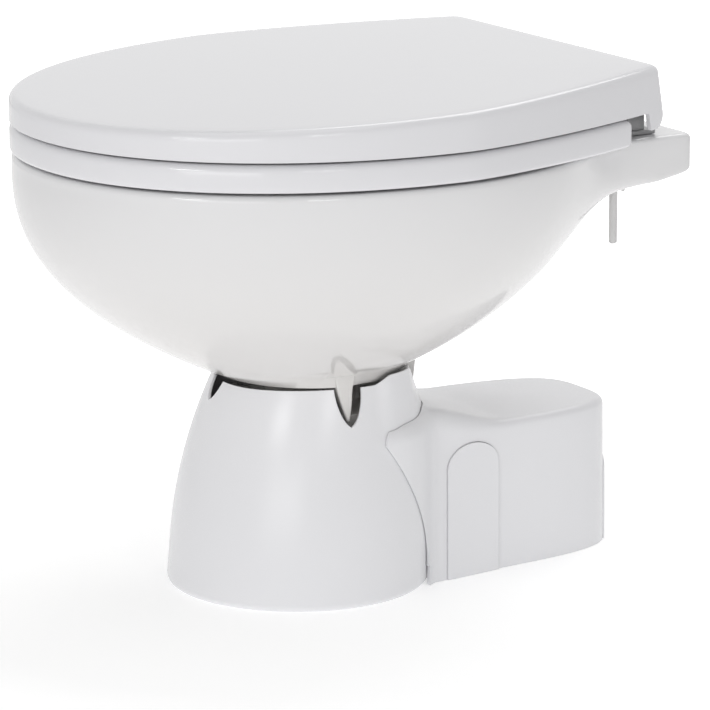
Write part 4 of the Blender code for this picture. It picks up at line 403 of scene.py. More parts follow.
def seat_plan(angle, inset, back=SEAT_BACK):
    """The plan of seat and lid: an egg, cut off at the back with a softened corner."""
    half_width = SEAT_HALF_WIDTH - inset
    reach = SEAT_REAR_REACH * half_width / SEAT_HALF_WIDTH
    distance = egg(angle, half_width, SEAT_FRONT - inset, reach, FRONT_POWER, REAR_POWER)
    if math.sin(angle) <= 0:
        return distance
    limit = (back - inset) / math.sin(angle)
    return (distance ** -CORNER_POWER + limit ** -CORNER_POWER) ** (-1 / CORNER_POWER)


def hole_plan(angle, inset):
    return egg(angle, HOLE_HALF_WIDTH - inset, HOLE_FRONT - inset, HOLE_REAR - inset,
               MOUTH_POWER, MOUTH_POWER)


def side_angle(y):
    """The direction in which the seat's and lid's side lies at this depth."""
    share = (y / SEAT_REAR_REACH) ** REAR_POWER
    return math.atan2(y, SEAT_HALF_WIDTH * (1 - share) ** (1 / REAR_POWER))


def polar(angle, distance, z, centre_y=0.0):
    return (distance * math.cos(angle), centre_y + distance * math.sin(angle), z)


def bowl_section(share):
    """Half width, front, rear and middle of the outer bowl, rim (0) to foot (1)."""
    front_keep, rear_keep = (
        (1 - share ** first) ** (1 / second) for first, second in (FRONT_FALL, REAR_FALL))
    side_keep = (front_keep + rear_keep) / 2
    return (blend(FOOT_HALF_WIDTH, BOWL_HALF_WIDTH, side_keep),
            blend(FOOT_FRONT, BOWL_FRONT, front_keep),
            blend(FOOT_REAR, BOWL_REAR, rear_keep), FOOT_CENTRE_Y * share)


def bowl_height(share):
    return blend(BELLY_TOP, BELL_NECK_HEIGHT, share)


def bowl_point(angle, share, inset=0.0, height=None):
    half_width, front, rear, middle = bowl_section(share)
    powers = [blend(power, 2, share) for power in (BOWL_FRONT_POWER, BOWL_REAR_POWER)]
    distance = egg(angle, half_width - inset, front - inset, rear - inset, *powers)
    return Vector(polar(
        angle, distance, bowl_height(share) if height is None else height, middle))


def shelf_underside(y):
    """The shelf gets thinner towards its back edge."""
    return SHELF_TOP - SHELF_BACK_THICKNESS - SHELF_SLOPE * (SHELF_BACK - y)


def inlet_face():
    """The y of the inlet boss's flat end, flush with the bowl above it."""
    share = (BELLY_TOP - INLET_Z - INLET_BOSS_RADIUS) / (BELLY_TOP - BELL_NECK_HEIGHT)
    return sum(bowl_section(share)[2:])


def lid_top(y):
    share = (y + SEAT_FRONT) / (LID_BACK + SEAT_FRONT)
    return blend(LID_FRONT_TOP, LID_REAR_TOP, share)


# Finishes: every look is made of nodes, with its own grain in colour, roughness and bump

def feed(tree, node, inputs):
    """Set a node's inputs: each is a plain value or the output that feeds it."""
    for key, value in inputs.items():
        if isinstance(value, bpy.types.NodeSocket):
            tree.links.new(value, node.inputs[key])
        else:
            node.inputs[key].default_value = value


def add_node(tree, kind, inputs=None, **settings):
    node = tree.nodes.new("ShaderNode" + kind)
    for key, value in settings.items():
        setattr(node, key, value)
    feed(tree, node, inputs or {})
    return node


def new_material(name):
    material = bpy.data.materials.new(name)
    material.use_nodes = True
    return material, material.node_tree, material.node_tree.nodes["Principled BSDF"]


def finish(name, colour, rough, grain, grain_scale, bump, spread, metal=0.0, coat=0.0,
           edge=0.0, stretch=(1.0, 1.0, 1.0), orange_peel=0.0, painted_low_shade=None):
    """A procedural material; edge is the radius to which its corners look softened; when a low
    colour is given, the colour is painted darker and warmer towards the bottom as painted shade,
    where less light falls.
    """
    material, tree, shader = new_material(name)
    spot = add_node(tree, "TexCoord").outputs["Object"]
    mapping = add_node(tree, "Mapping", {"Vector": spot, "Scale": stretch})

    def noise(scale, detail):
        return add_node(tree, "TexNoise", {
            "Vector": mapping.outputs["Vector"], "Scale": scale, "Detail": detail,
        }).outputs["Fac"]

    def mix(share, first, second):
        return add_node(
            tree, "Mix", {0: share, 6: first, 7: second}, data_type="RGBA").outputs[2]

    fine = noise(grain_scale * FINE_GRAIN, 3)
    surface = mix(noise(grain_scale / CLOUD_GRAIN, 4),
                  tuple(c * (1 - grain) for c in colour) + (1,),
                  tuple(min(1.0, c * (1 + grain)) for c in colour) + (1,))
    # painted shade: the colour blends towards the darker, warmer low colour down towards the
    # bowl's foot, where less light falls
    if painted_low_shade:
        height = add_node(tree, "SeparateXYZ", {0: spot})
        climb = add_node(tree, "MapRange", {
            "From Min": BELL_NECK_HEIGHT, "From Max": RIM_TOP, "Value": height.outputs["Z"]})
        surface = mix(climb.outputs["Result"], painted_low_shade + (1,), surface)
    gloss = add_node(tree, "MapRange", {
        "To Min": max(LEAST_ROUGH, rough - spread), "To Max": rough + spread, "Value": fine})
    relief = add_node(
        tree, "Bump", {"Strength": GRAIN_STRENGTH, "Distance": bump, "Height": fine})
    normal = relief.outputs["Normal"]
    if orange_peel:
        normal = add_node(tree, "Bump", {
            "Strength": PEEL_STRENGTH, "Distance": orange_peel,
            "Height": noise(grain_scale, 2), "Normal": normal}).outputs["Normal"]
    if edge:
        soft = add_node(tree, "Bevel", {"Radius": edge}, samples=6)
        feed(tree, relief, {"Normal": soft.outputs["Normal"]})
    feed(tree, shader, {
        "Base Color": surface, "Roughness": gloss.outputs["Result"], "Normal": normal,
        "Metallic": metal, "Coat Weight": coat, "Coat Roughness": COAT_ROUGH})
    return material


LOOKS = {
    "glaze": finish("glaze_look", (0.80, 0.797, 0.805), 0.12, 0.010, 40, 0.00001, 0.03,
                    coat=0.3, edge=0.0008, orange_peel=0.00002,
                    # painted shade: the glaze turns darker and warmer towards the bottom of the
                    # bowl
                    painted_low_shade=(0.73, 0.714, 0.698)),
    "seat_gloss": finish("seat_look", (0.80, 0.797, 0.818), 0.10, 0.008, 55, 0.00001, 0.03,
                         edge=0.0008, orange_peel=0.00002),
    "shell_plastic": finish("shell_look", (0.86, 0.86, 0.88), 0.26, 0.008, 80, 0.00001, 0.04,
                            edge=0.0007, orange_peel=0.00003),
    "hinge_plastic": finish("hinge_look", (0.40, 0.40, 0.405), 0.38, 0.03, 90, 0.0001, 0.06,
                            edge=0.0005),
    "bolt_nylon": finish("bolt_look", (0.66, 0.655, 0.65), 0.42, 0.03, 90, 0.0001, 0.06,
                         edge=0.0004),
    "dark_plastic": finish("dark_look", (0.06, 0.06, 0.065), 0.45, 0.08, 90, 0.0002, 0.08,
                           edge=0.0005),
    "rubber": finish("rubber_look", (0.05, 0.05, 0.05), 0.75, 0.10, 120, 0.0003, 0.08,
                     edge=0.0004),
    "pale_rubber": finish("pale_rubber_look", (0.70, 0.70, 0.68), 0.65, 0.03, 120, 0.0003,
                          0.08, edge=0.0006),
    "steel": finish("steel_look", (0.62, 0.62, 0.63), 0.30, 0.05, 60, 0.0001, 0.08, metal=1.0,
                    edge=0.0003, stretch=(1.0, 8.0, 8.0)),
    "motor_paint": finish("motor_look", (0.09, 0.09, 0.10), 0.40, 0.06, 120, 0.0002, 0.08,
                          edge=0.0004),
    "magnet_grey": finish("magnet_look", (0.14, 0.14, 0.15), 0.60, 0.08, 90, 0.0002, 0.08),
    "copper": finish("copper_look", (0.72, 0.40, 0.25), 0.35, 0.05, 90, 0.0001, 0.08, metal=1.0,
                     stretch=(6.0, 1.0, 6.0)),
    "carbon": finish("carbon_look", (0.03, 0.03, 0.03), 0.60, 0.10, 120, 0.0002, 0.08),
}


# Building the pieces

scene = bpy.context.scene
PIECES = bpy.data.collections.new("pieces")
CUTTERS = bpy.data.collections.new("cutters")
for collection in (PIECES, CUTTERS):
    scene.collection.children.link(collection)
BODIES = {
    member: body for body, members in frame["record"]["behaviour"]["bodies"].items()
    for member in members}


def smooth_line(points, steps=5):
    """A soft line through the points, with so many steps between each two."""
    whole = [points[0]] + list(points) + [points[-1]]
    line = []
    for a, b, c, d in zip(whole, whole[1:], whole[2:], whole[3:]):
        for i in range(steps):
            t = i / steps
            line.append(tuple(
                0.5 * (2 * q + (r - p) * t + (2 * p - 5 * q + 4 * r - s) * t * t
                       + (3 * q - p - 3 * r + s) * t ** 3)
                for p, q, r, s in zip(a, b, c, d)))
    line.append(tuple(points[-1]))
    return line


def from_bmesh(name, shape, look=None):
    """Turn a shape into an object: a shown piece when it has a look, else a cutter."""
    bmesh.ops.recalc_face_normals(shape, faces=shape.faces)
    mesh = bpy.data.meshes.new(name)
    shape.to_mesh(mesh)
    shape.free()
    item = bpy.data.objects.new(name, mesh)
    if look is None:
        CUTTERS.objects.link(item)
        item.hide_render = True
    else:
        PIECES.objects.link(item)
        mesh.materials.append(LOOKS[look])
        item["look"] = look
    return item


def knit(shape, rows):
    """Join rows that hold the same number of points, each of them a closed ring."""
    for below, above in zip(rows, rows[1:]):
        for i in range(len(below)):
            j = (i + 1) % len(below)
            shape.faces.new((below[i], below[j], above[j], above[i]))


def loft(name, rings, look=None, wrap=False):
    """Skin rings; wrap joins the last to the first, and a cutter's two ends are closed."""
    shape = bmesh.new()
    rows = [[shape.verts.new(point) for point in ring] for ring in rings]
    knit(shape, rows + rows[:1] if wrap else rows)
    if look is None:
        shape.faces.new(list(reversed(rows[0])))
        shape.faces.new(rows[-1])
    return from_bmesh(name, shape, look)


def turned(name, profile, look=None, axis="Z", at=(0, 0, 0), steps=SMALL_STEPS):
    """Turn a closed profile of (radius, height) points round the axis."""
    shape = bmesh.new()
    rows = []
    for radius, height in profile:
        if radius < WELD:
            rows.append([shape.verts.new((0, 0, height))])
            continue
        rows.append([
            shape.verts.new((radius * math.cos(2 * math.pi * i / steps),
                             radius * math.sin(2 * math.pi * i / steps), height))
            for i in range(steps)])
    pairs = list(zip(rows, rows[1:]))
    if len(rows[0]) > 1:
        pairs.append((rows[-1], rows[0]))
    for one, two in pairs:
        for i in range(steps):
            j = (i + 1) % steps
            corners = [one[i % len(one)], one[j % len(one)], two[j % len(two)], two[i % len(two)]]
            face = list(dict.fromkeys(corners))
            if len(face) > 2:
                shape.faces.new(face)
    item = from_bmesh(name, shape, look)
    item.rotation_euler = AXIS_TURNS[axis]
    item.location = at
    return item


def rod(name, radius, length, look=None, axis="Z", at=(0, 0, 0), soft=0.0, steps=SMALL_STEPS):
    """A cylinder that starts at its place and runs up its axis, its rims rounded by soft."""
    profile = [(radius, length), (radius, 0.0)]
    if soft:
        arc = quarter(soft, ROD_ARC_STEPS)
        profile = [(radius - a, length - b) for a, b in arc] + [(radius - b, a) for a, b in arc]
    return turned(name, [(0.0, length)] + profile + [(0.0, 0.0)], look, axis, at, steps)


def bore(radius, length, at, axis="Z"):
    return rod("bore", radius, length, axis=axis, at=at, steps=HOLE_STEPS)


def block(name, low, high, look=None, soft=0.0):
    """A box between two corners, its edges rounded by soft."""
    shape = bmesh.new()
    corners = [shape.verts.new((x, y, z)) for x in (low[0], high[0])
               for y in (low[1], high[1]) for z in (low[2], high[2])]
    for face in BOX_FACES:
        shape.faces.new([corners[i] for i in face])
    if soft:
        bmesh.ops.bevel(shape, geom=list(shape.edges), offset=soft, segments=4,
                        affect="EDGES", profile=0.5)
    return from_bmesh(name, shape, look)


def prism(name, outline, start, depth, axis="Y", soft=0.0):
    """Push a closed outline of (across, up) points along X or Y."""
    shape = bmesh.new()
    along = axis == "Y"
    points = [(across, start, up) if along else (start, across, up) for across, up in outline]
    face = shape.faces.new([shape.verts.new(point) for point in points])
    grown = bmesh.ops.extrude_face_region(shape, geom=[face])
    moved = [part for part in grown["geom"] if isinstance(part, bmesh.types.BMVert)]
    bmesh.ops.translate(shape, verts=moved, vec=(0, depth, 0) if along else (depth, 0, 0))
    if soft:
        far = [edge for edge in shape.edges if all(vert in moved for vert in edge.verts)]
        bmesh.ops.recalc_face_normals(shape, faces=shape.faces)
        bmesh.ops.bevel(shape, geom=far, offset=soft, segments=3, affect="EDGES",
                        profile=0.5, clamp_overlap=True)
    return from_bmesh(name, shape)


def round_the_bell(tool, degrees):
    """Turn a tool that reaches along +Y to its place round the pedestal's neck."""
    tool.location = (0, BELL_NECK_Y, 0)
    tool.rotation_euler = (0, 0, math.radians(degrees - 90))
    return tool


def combine(item, tools, operation):
    for tool in tools:
        change = item.modifiers.new(operation.lower(), "BOOLEAN")
        change.operation = operation
        change.object = tool
        change.solver = "EXACT"


def cut(item, *tools):
    combine(item, tools, "DIFFERENCE")


def join(item, *tools):
    combine(item, tools, "UNION")


def shell(item, thickness):
    """Give an open skin a wall on its inner side."""
    solid = item.modifiers.new("wall", "SOLIDIFY")
    solid.thickness = thickness
    solid.offset = -1
    solid.use_even_offset = True
    solid.use_quality_normals = True
    return item


def settle(item):
    """Make a piece final, in the frame, on its body, in place of its CAD node."""
    bpy.context.view_layer.update()
    graph = bpy.context.evaluated_depsgraph_get()
    mesh = bpy.data.meshes.new_from_object(item.evaluated_get(graph))
    mesh.transform(item.matrix_world)
    item.modifiers.clear()
    item.matrix_world = Matrix()
    item.data = mesh
    clean = bmesh.new()
    clean.from_mesh(mesh)
    bmesh.ops.remove_doubles(clean, verts=clean.verts, dist=0.2 * WELD)
    bmesh.ops.dissolve_degenerate(clean, edges=clean.edges, dist=0.2 * WELD)
    clean.to_mesh(mesh)
    clean.free()
    mesh.materials.clear()
    mesh.materials.append(LOOKS[item["look"]])
    mesh.shade_smooth()
    mesh.set_sharp_from_angle(angle=SHARP_ANGLE)
    node = item.name.removeprefix("shown_")
    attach(item, BODIES.get(node, "toilet_body"))
    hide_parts(node)
    for tool in list(CUTTERS.objects):
        bpy.data.objects.remove(tool, do_unlink=True)


def knuckle(x):
    return rod("knuckle", KNUCKLE_RADIUS, KNUCKLE_WIDTH, axis="X",
               at=(x - HALF_KNUCKLE, HINGE_Y, HINGE_Z))


def pin_bore(side):
    """The bore that every knuckle of one side shares."""
    low, high = sorted((side * (PIN_START - OVERRUN), side * PIN_BORE_END))
    return bore(PIN_RADIUS + CLEARANCE, high - low, (low, HINGE_Y, HINGE_Z), "X")


# Bowl

def rim_outline(angle, inset):
    return egg(angle, BOWL_HALF_WIDTH - inset, BOWL_FRONT - inset, BOWL_REAR - inset,
               BOWL_FRONT_POWER, BOWL_REAR_POWER)


def common_outline(angle, inset):
    """The common plan of the bowl's rim and its shelf, drawn in by inset."""
    rim = rim_outline(angle, inset)
    if math.sin(angle) <= 0:
        return rim
    shelf = egg(angle, SHELF_HALF_WIDTH - inset, 1.0, SHELF_BACK - inset,
                SHELF_POWER, SHELF_POWER)
    both = (rim ** MERGE_POWER + shelf ** MERGE_POWER) ** (1 / MERGE_POWER)
    return blend(rim, both, smooth_step(*SHELF_BLEND, angle))


def top_height(y):
    return blend(RIM_TOP, SHELF_TOP, smooth_step(*STEP_RANGE, y))


def crossing(angle):
    """The share at which the belly meets the plane of the shelf's underside."""
    low, high = CROSSING_RANGE
    for _ in range(CROSSING_TURNS):
        middle = (low + high) / 2
        point = bowl_point(angle, middle)
        if point.z > shelf_underside(point.y):
            low = middle
        else:
            high = middle
    return (low + high) / 2


def fillet_at(angle):
    """Reach of the fillet under the shelf, and the share of the belly that it takes."""
    side = 1 - smooth_step(*FILLET_RANGE, angle)
    return blend(FILLET, WIDE_FILLET, side), blend(FILLET_SHARE, WIDE_SHARE, side)


def belly_column(angle, end):
    return [bowl_point(angle, blend(BELLY_START, end, (i / (BELLY_ROWS - 1)) ** BELLY_SPREAD))
            for i in range(BELLY_ROWS)]


def plain_column(angle, start):
    """Points up the outside of the bowl where it has no shelf."""
    column = belly_column(angle, start)
    column += [bowl_point(angle, start * (1 - share))
               for share in shares(FILLET_ROWS + UNDER_ROWS)]
    rim = bowl_point(angle, 0.0)
    column += [Vector((rim.x, rim.y, BELLY_TOP + (BOWL_BAND - RIM_ROUND) * share))
               for share in shares(CORNER_ROWS + FACE_ROWS)]
    column += [Vector(polar(angle, rim_outline(angle, b), RIM_TOP - a))
               for a, b in quarter(RIM_ROUND, BRIM_ROWS, 1)]
    return column


def shelf_column(angle, start):
    """Points up the belly, out under the shelf and up its edge."""
    meet = bowl_point(angle, crossing(angle))
    outer = common_outline(angle, SHELF_ROUND)
    far = Vector((math.cos(angle), math.sin(angle), 0.0)) * outer
    far.z = shelf_underside(far.y)
    run = max(0.0, outer - meet.xy.length)
    reach = min(fillet_at(angle)[0], FILLET_RUN * run)
    column = belly_column(angle, start)
    first = column[-1]
    last = meet + (far - meet).normalized() * reach if run > 0 else meet.copy()
    column += [first * (1 - t) ** 2 + meet * 2 * t * (1 - t) + last * t * t
               for t in shares(FILLET_ROWS)]
    column += [blend(last, far, t) for t in shares(UNDER_ROWS)]
    column += [Vector(polar(angle, common_outline(angle, a), far.z + b))
               for a, b in quarter(SHELF_ROUND, CORNER_ROWS, 1)]
    x, y, _ = polar(angle, common_outline(angle, 0.0), 0.0)
    foot = column[-1].z
    column += [Vector((x, y, blend(foot, top_height(y) - RIM_ROUND, share)))
               for share in shares(FACE_ROWS)]
    for a, b in quarter(RIM_ROUND, BRIM_ROWS, 1):
        x, y, _ = polar(angle, common_outline(angle, b), 0.0)
        column.append(Vector((x, y, top_height(y) - a)))
    return column


def outer_column(angle):
    side = angle if math.cos(angle) >= 0 else math.pi - angle
    weight = smooth_step(*SHELF_BLEND, side)
    if weight > 0:
        start = crossing(side) + fillet_at(side)[1]
        column = plain_column(side, blend(PLAIN_START, start, weight))
        column = [p.lerp(q, weight) for p, q in zip(column, shelf_column(side, start))]
    else:
        column = plain_column(side, PLAIN_START)
    if side != angle:
        column = [Vector((-p.x, p.y, p.z)) for p in column]
    return column


def outlet_ring(angles, radius, height):
    return [polar(angle, radius, height, OUTLET_Y) for angle in angles]


def foot_ring(angles, keep, height):
    """The round foot under the belly, drawn in where the hood rises and folds round it."""
    points = []
    for angle in angles:
        depth = math.sin(angle)
        reach = BOWL_SEAT_RADIUS
        reach -= (BELL_WALL + RUNNING) * smooth_step(*FOOT_STEP_SHARES, depth)
        reach -= (HOOD_FOLD + HOOD_LIP) * smooth_step(*HOOD_FOLD_SHARES, depth)
        points.append(polar(angle, keep * reach, height, OUTLET_Y))
    return points


def mouth_ring(angles, out, height):
    return [
        polar(angle, egg(
            angle, MOUTH_HALF_WIDTH + out, MOUTH_FRONT + out, MOUTH_REAR + out,
            MOUTH_POWER, MOUTH_POWER), height)
        for angle in angles]


def bowl_rings(angles):
    """Rings from the spigot up the outside, over the rim and down the inside."""
    flange_top = FLANGE_BOTTOM + FLANGE_THICKNESS
    rows = [outlet_ring(angles, radius, height) for height, radius in (
        (SPIGOT_BOTTOM, SPIGOT_RADIUS), (FLANGE_BOTTOM - WELD, SPIGOT_RADIUS),
        (FLANGE_BOTTOM, FLANGE_RADIUS), (flange_top, FLANGE_RADIUS),
        (flange_top + WELD, SPIGOT_RADIUS), (SPIGOT_TOP, SPIGOT_RADIUS))]
    rows += [foot_ring(angles, keep, blend(SPIGOT_TOP, BOWL_SEAT_TOP, climb))
             for keep, climb in FOOT_ROW_SHARES]
    rows.append(foot_ring(angles, 1.0, BOWL_SEAT_TOP))
    rows += [list(row) for row in zip(*(outer_column(angle) for angle in angles))]
    edge = rows[-1]
    mouth = mouth_ring(angles, MOUTH_ROUND, 0.0)
    for share in shares(TOP_ROWS):
        row = []
        for a, b in zip(edge, mouth):
            y = blend(a[1], b[1], share)
            row.append((blend(a[0], b[0], share), y, top_height(y)))
        rows.append(row)
    rows += [mouth_ring(angles, a, RIM_TOP - b) for a, b in quarter(MOUTH_ROUND, LIP_STEPS, 1)]
    foot = RIM_TOP - LIP_DEPTH
    lip = LIP_THICKNESS
    near, far = LIP_SHARES
    rows += [mouth_ring(angles, out, height) for out, height in (
        (0.0, foot + 0.5 * MOUTH_ROUND), (near * lip, foot), (far * lip, foot),
        (lip, foot + near * lip), (lip, foot + lip))]
    rows.append([bowl_point(angle, 0.0, BOWL_WALL + lip, foot + lip) for angle in angles])
    low, high = CAVITY_SHARES
    for i in range(CAVITY_ROWS):
        share = low + (high - low) * i / (CAVITY_ROWS - 1)
        height = bowl_height(share) + BOWL_WALL / 2
        rows.append([bowl_point(angle, share, BOWL_WALL, height) for angle in angles])
    return rows + [outlet_ring(angles, OUTLET_BORE, height)
                   for height in (BOWL_SEAT_TOP, SPIGOT_BOTTOM)]


def fin_tool(degrees):
    """A tapering fin, its rounded head leaning to one side."""
    def edge(side):
        head = side * FIN_HEAD_WIDTH / 2
        neck = side * FIN_NECK_WIDTH
        return ((FIN_LEAN, FIN_TOP), (FIN_LEAN + head * FIN_CROWN[0], FIN_TOP - FIN_CROWN[1]),
                (FIN_LEAN + head, FIN_SHOULDER), (FIN_LEAN + neck / 2, BELL_NECK_HEIGHT),
                (FIN_LEAN / 2 + neck / 3, (BELL_NECK_HEIGHT + FIN_TIP) / 2),
                (side * FIN_TIP_WIDTH / 2, FIN_TIP))

    outline = smooth_line(edge(1)) + smooth_line(edge(-1)[::-1])[:-1]
    return round_the_bell(
        prism("fin", outline, FIN_ROOT, FIN_REACH - FIN_ROOT, soft=FIN_SOFT), degrees)


def soften(bowl):
    """Let the side of the shelf run into the belly without a crease."""
    shape = bmesh.new()
    shape.from_mesh(bowl.data)
    brim = RIM_TOP - RIM_ROUND
    for _ in range(SOFTEN_TURNS):
        moves = {}
        for vert in shape.verts:
            x, y, z = abs(vert.co.x), vert.co.y, vert.co.z
            if z > brim or z < SOFTEN_LOW or x < SOFTEN_SIDE:
                continue
            share = smooth_step(*SOFTEN_START, y) * (1 - smooth_step(*SOFTEN_END, y))
            share *= smooth_step(SOFTEN_LOW, SOFTEN_LOW + SOFTEN_FADE, z)
            share *= 1 - smooth_step(RIM_TOP - 3 * RIM_ROUND, brim, z)
            share *= smooth_step(SOFTEN_SIDE, SOFTEN_SIDE + SOFTEN_FADE, x)
            if share > 0:
                near = [edge.other_vert(vert).co for edge in vert.link_edges]
                moves[vert] = vert.co.lerp(sum(near, Vector()) / len(near), SOFTEN_PULL * share)
        for vert, co in moves.items():
            vert.co = co
    shape.to_mesh(bowl.data)
    shape.free()


def make_bowl():
    angles = ring_angles([math.radians(end) for end in BOWL_STOPS], BOWL_COUNTS)
    bowl = loft("shown_bowl", bowl_rings(angles), "glaze", wrap=True)
    soften(bowl)
    join(bowl, *(fin_tool(degrees) for degrees in FIN_ANGLES))
    join(bowl, rod("inlet_boss", INLET_BOSS_RADIUS, INLET_BOSS_DEPTH, axis="Y",
                   at=(0, inlet_face() - INLET_BOSS_DEPTH, INLET_Z), soft=INLET_BOSS_SOFT))
    for degrees in BOWL_BOLT_ANGLES:
        cut(bowl, bore(BOWL_BOLT_RADIUS + CLEARANCE, 3 * FLANGE_THICKNESS, polar(
            math.radians(degrees), BOLT_CIRCLE, FLANGE_BOTTOM - FLANGE_THICKNESS, OUTLET_Y)))
    for x in (-HINGE_BOLT_X, HINGE_BOLT_X):
        cut(bowl, bore(HINGE_BOLT_RADIUS + CLEARANCE, SHELF_TOP - SPOT_FACE_Z + 2 * OVERRUN,
                       (x, HINGE_BOLT_Y, SPOT_FACE_Z - OVERRUN)),
            rod("spot_face", SPOT_FACE_RADIUS, 2 * OVERRUN,
                at=(x, HINGE_BOLT_Y, SPOT_FACE_Z - 2 * OVERRUN)))
    cut(bowl, rod("inlet_hole", INLET_HOLE_RADIUS, SHELF_BACK - MOUTH_REAR, axis="Y",
                  at=(0, MOUTH_REAR, INLET_Z)))
    settle(bowl)


# Seat and lid

def seat_rows(angles):
    """Rows round the cross-section of the seat, outer side up and hole side down."""
    low = SEAT_BOTTOM
    high = SEAT_BOTTOM + SEAT_THICKNESS
    foot = quarter(SEAT_FOOT_ROUND, ARC_STEPS - 1)
    head = quarter(SEAT_ROUND, ARC_STEPS - 1)
    levels = [(seat_plan, a, low + b) for a, b in foot]
    levels += [(seat_plan, b, high - a) for a, b in head]
    levels += [(hole_plan, -a, high - b) for a, b in head]
    levels += [(hole_plan, -b, low + a) for a, b in foot]
    return [[polar(angle, plan(angle, inset), height) for angle in angles]
            for plan, inset, height in levels]


def make_seat():
    corner = side_angle(SEAT_BACK)
    angles = ring_angles(
        (0, corner - CORNER_SPREAD, corner + CORNER_SPREAD, math.pi / 2), SEAT_COUNTS)
    seat = loft("shown_seat_ring", seat_rows(angles), "seat_gloss", wrap=True)
    middle = SEAT_BOTTOM + SEAT_THICKNESS / 2
    root_y = SEAT_BACK - SEAT_THICKNESS
    outline = (
        (root_y, middle - SEAT_ARM_THICKNESS / 2), (HINGE_Y, HINGE_Z - KNUCKLE_RADIUS),
        (HINGE_Y, HINGE_Z + PIN_RADIUS), (root_y, middle + SEAT_ARM_THICKNESS / 2))
    for side in (-1, 1):
        x = side * SEAT_KNUCKLE_X
        join(seat, prism("arm", outline, x - HALF_KNUCKLE, KNUCKLE_WIDTH, "X"), knuckle(x))
        cut(seat, pin_bore(side))
    settle(seat)


def lid_bottom(y):
    """The side wall reaches lower behind the hinge, down a slanting front edge."""
    return blend(LID_EDGE_Z, LID_SKIRT_Z, smooth_step(*LOBE_RANGE, y))


def lid_rows(angles):
    def row(inset, back_inset, height_of):
        points = [polar(angle, seat_plan(angle, inset, LID_BACK - back_inset), 0.0)
                  for angle in angles]
        return [(x, y, height_of(y)) for x, y, _ in points]

    def skirt(y, rise, lift):
        return lid_bottom(y) + rise * smooth_step(*SKIRT_RANGE, y) + lift

    def between(y, share):
        foot = skirt(y, LID_SKIRT_ROUND, LID_LIP)
        return blend(foot, lid_top(y) - LID_EDGE_ROUND, share)

    rows = [row(0.0, a, lambda y, b=b: skirt(y, b, LID_LIP * b / LID_SKIRT_ROUND))
            for a, b in quarter(LID_SKIRT_ROUND, ARC_STEPS - 1)]
    rows += [row(0.0, LID_BACK_LEAN * share, lambda y, share=share: between(y, share))
             for share in shares(LID_WALL_STEPS)[:-1]]
    rows += [row(b, LID_BACK_LEAN, lambda y, a=a: lid_top(y) - a)
             for a, b in quarter(LID_EDGE_ROUND, ARC_STEPS)]
    edge = rows[-1]
    for share in LID_TOP_SHARES:
        crown = LID_CROWN * (1 - share * share)
        rows.append([(x * share, y * share, lid_top(y * share) + crown) for x, y, _ in edge])
    return rows


def make_lid():
    angles = ring_angles(
        (0, side_angle(LOBE_RANGE[0]), side_angle(LOBE_RANGE[1]),
         side_angle(LID_BACK) + CORNER_SPREAD, math.pi / 2), LID_COUNTS)
    shape = bmesh.new()
    rows = [[shape.verts.new(point) for point in row] for row in lid_rows(angles)]
    knit(shape, rows)
    crown = shape.verts.new((0, 0, lid_top(0) + LID_CROWN))
    for one, two in zip(rows[-1], rows[-1][1:] + rows[-1][:1]):
        shape.faces.new((one, two, crown))
    lid = shell(from_bmesh("shown_lid", shape, "seat_gloss"), LID_WALL)
    for side in (-1, 1):
        inner, outer = sorted((side * NOTCH_INNER_X, side * NOTCH_OUTER_X))
        cut(lid, block("notch", (inner, HINGE_Y + KNUCKLE_RADIUS, LID_SKIRT_Z - OVERRUN),
                       (outer, LID_BACK + OVERRUN, NOTCH_TOP)))
        x = side * LID_KNUCKLE_X
        join(lid, block("arm", (x - HALF_KNUCKLE, HINGE_Y - LID_ARM_THICKNESS / 2, HINGE_Z),
                        (x + HALF_KNUCKLE, HINGE_Y + LID_ARM_THICKNESS / 2,
                         lid_top(HINGE_Y) - LID_WALL / 2)), knuckle(x))
        cut(lid, pin_bore(side))
    settle(lid)


def make_bumpers():
    for number, degrees in enumerate(SEAT_BUMPER_ANGLES, 1):
        angle = math.radians(degrees)
        settle(rod(f"shown_seat_bumper_{number}", SEAT_BUMPER_RADIUS,
                   SEAT_BOTTOM - RIM_TOP - 2 * CLEARANCE, "pale_rubber", soft=SEAT_BUMPER_SOFT,
                   at=polar(angle, seat_plan(angle, SEAT_BUMPER_INSET), RIM_TOP + CLEARANCE)))
    foot = SEAT_BOTTOM + SEAT_THICKNESS + CLEARANCE
    for number, degrees in enumerate(LID_BUMPER_ANGLES, 1):
        angle = math.radians(degrees)
        at = polar(angle, seat_plan(angle, LID_BUMPER_INSET, LID_BACK), foot)
        lowest = lid_top(at[1] - LID_BUMPER_RADIUS) - LID_WALL
        settle(rod(f"shown_lid_bumper_{number}", LID_BUMPER_RADIUS, lowest - foot - CLEARANCE,
                   "pale_rubber", at=at, soft=LID_BUMPER_SOFT))


# Hinges and their fastenings

def make_post(side, label):
    level = SHELF_TOP + CLEARANCE
    x = side * POST_X
    low, high = sorted((side * FOOT_INNER_X, x + side * HALF_KNUCKLE))
    post = block(f"shown_hinge_post_{label}", (low, FOOT_FRONT_Y, level),
                 (high, FOOT_BACK_Y, level + FOOT_THICKNESS), "hinge_plastic", soft=POST_SOFT)
    near, far = sorted((x - side * HALF_KNUCKLE, x + side * (HALF_KNUCKLE - POST_RECESS)))
    join(post, block("upright", (near, HINGE_Y - KNUCKLE_RADIUS, level + FOOT_THICKNESS / 2),
                     (far, HINGE_Y + KNUCKLE_RADIUS, HINGE_Z)), knuckle(x))
    cut(post, pin_bore(side),
        bore(HINGE_BOLT_RADIUS + CLEARANCE, FOOT_THICKNESS + 2 * OVERRUN,
             (side * HINGE_BOLT_X, HINGE_BOLT_Y, level - OVERRUN)))
    settle(post)


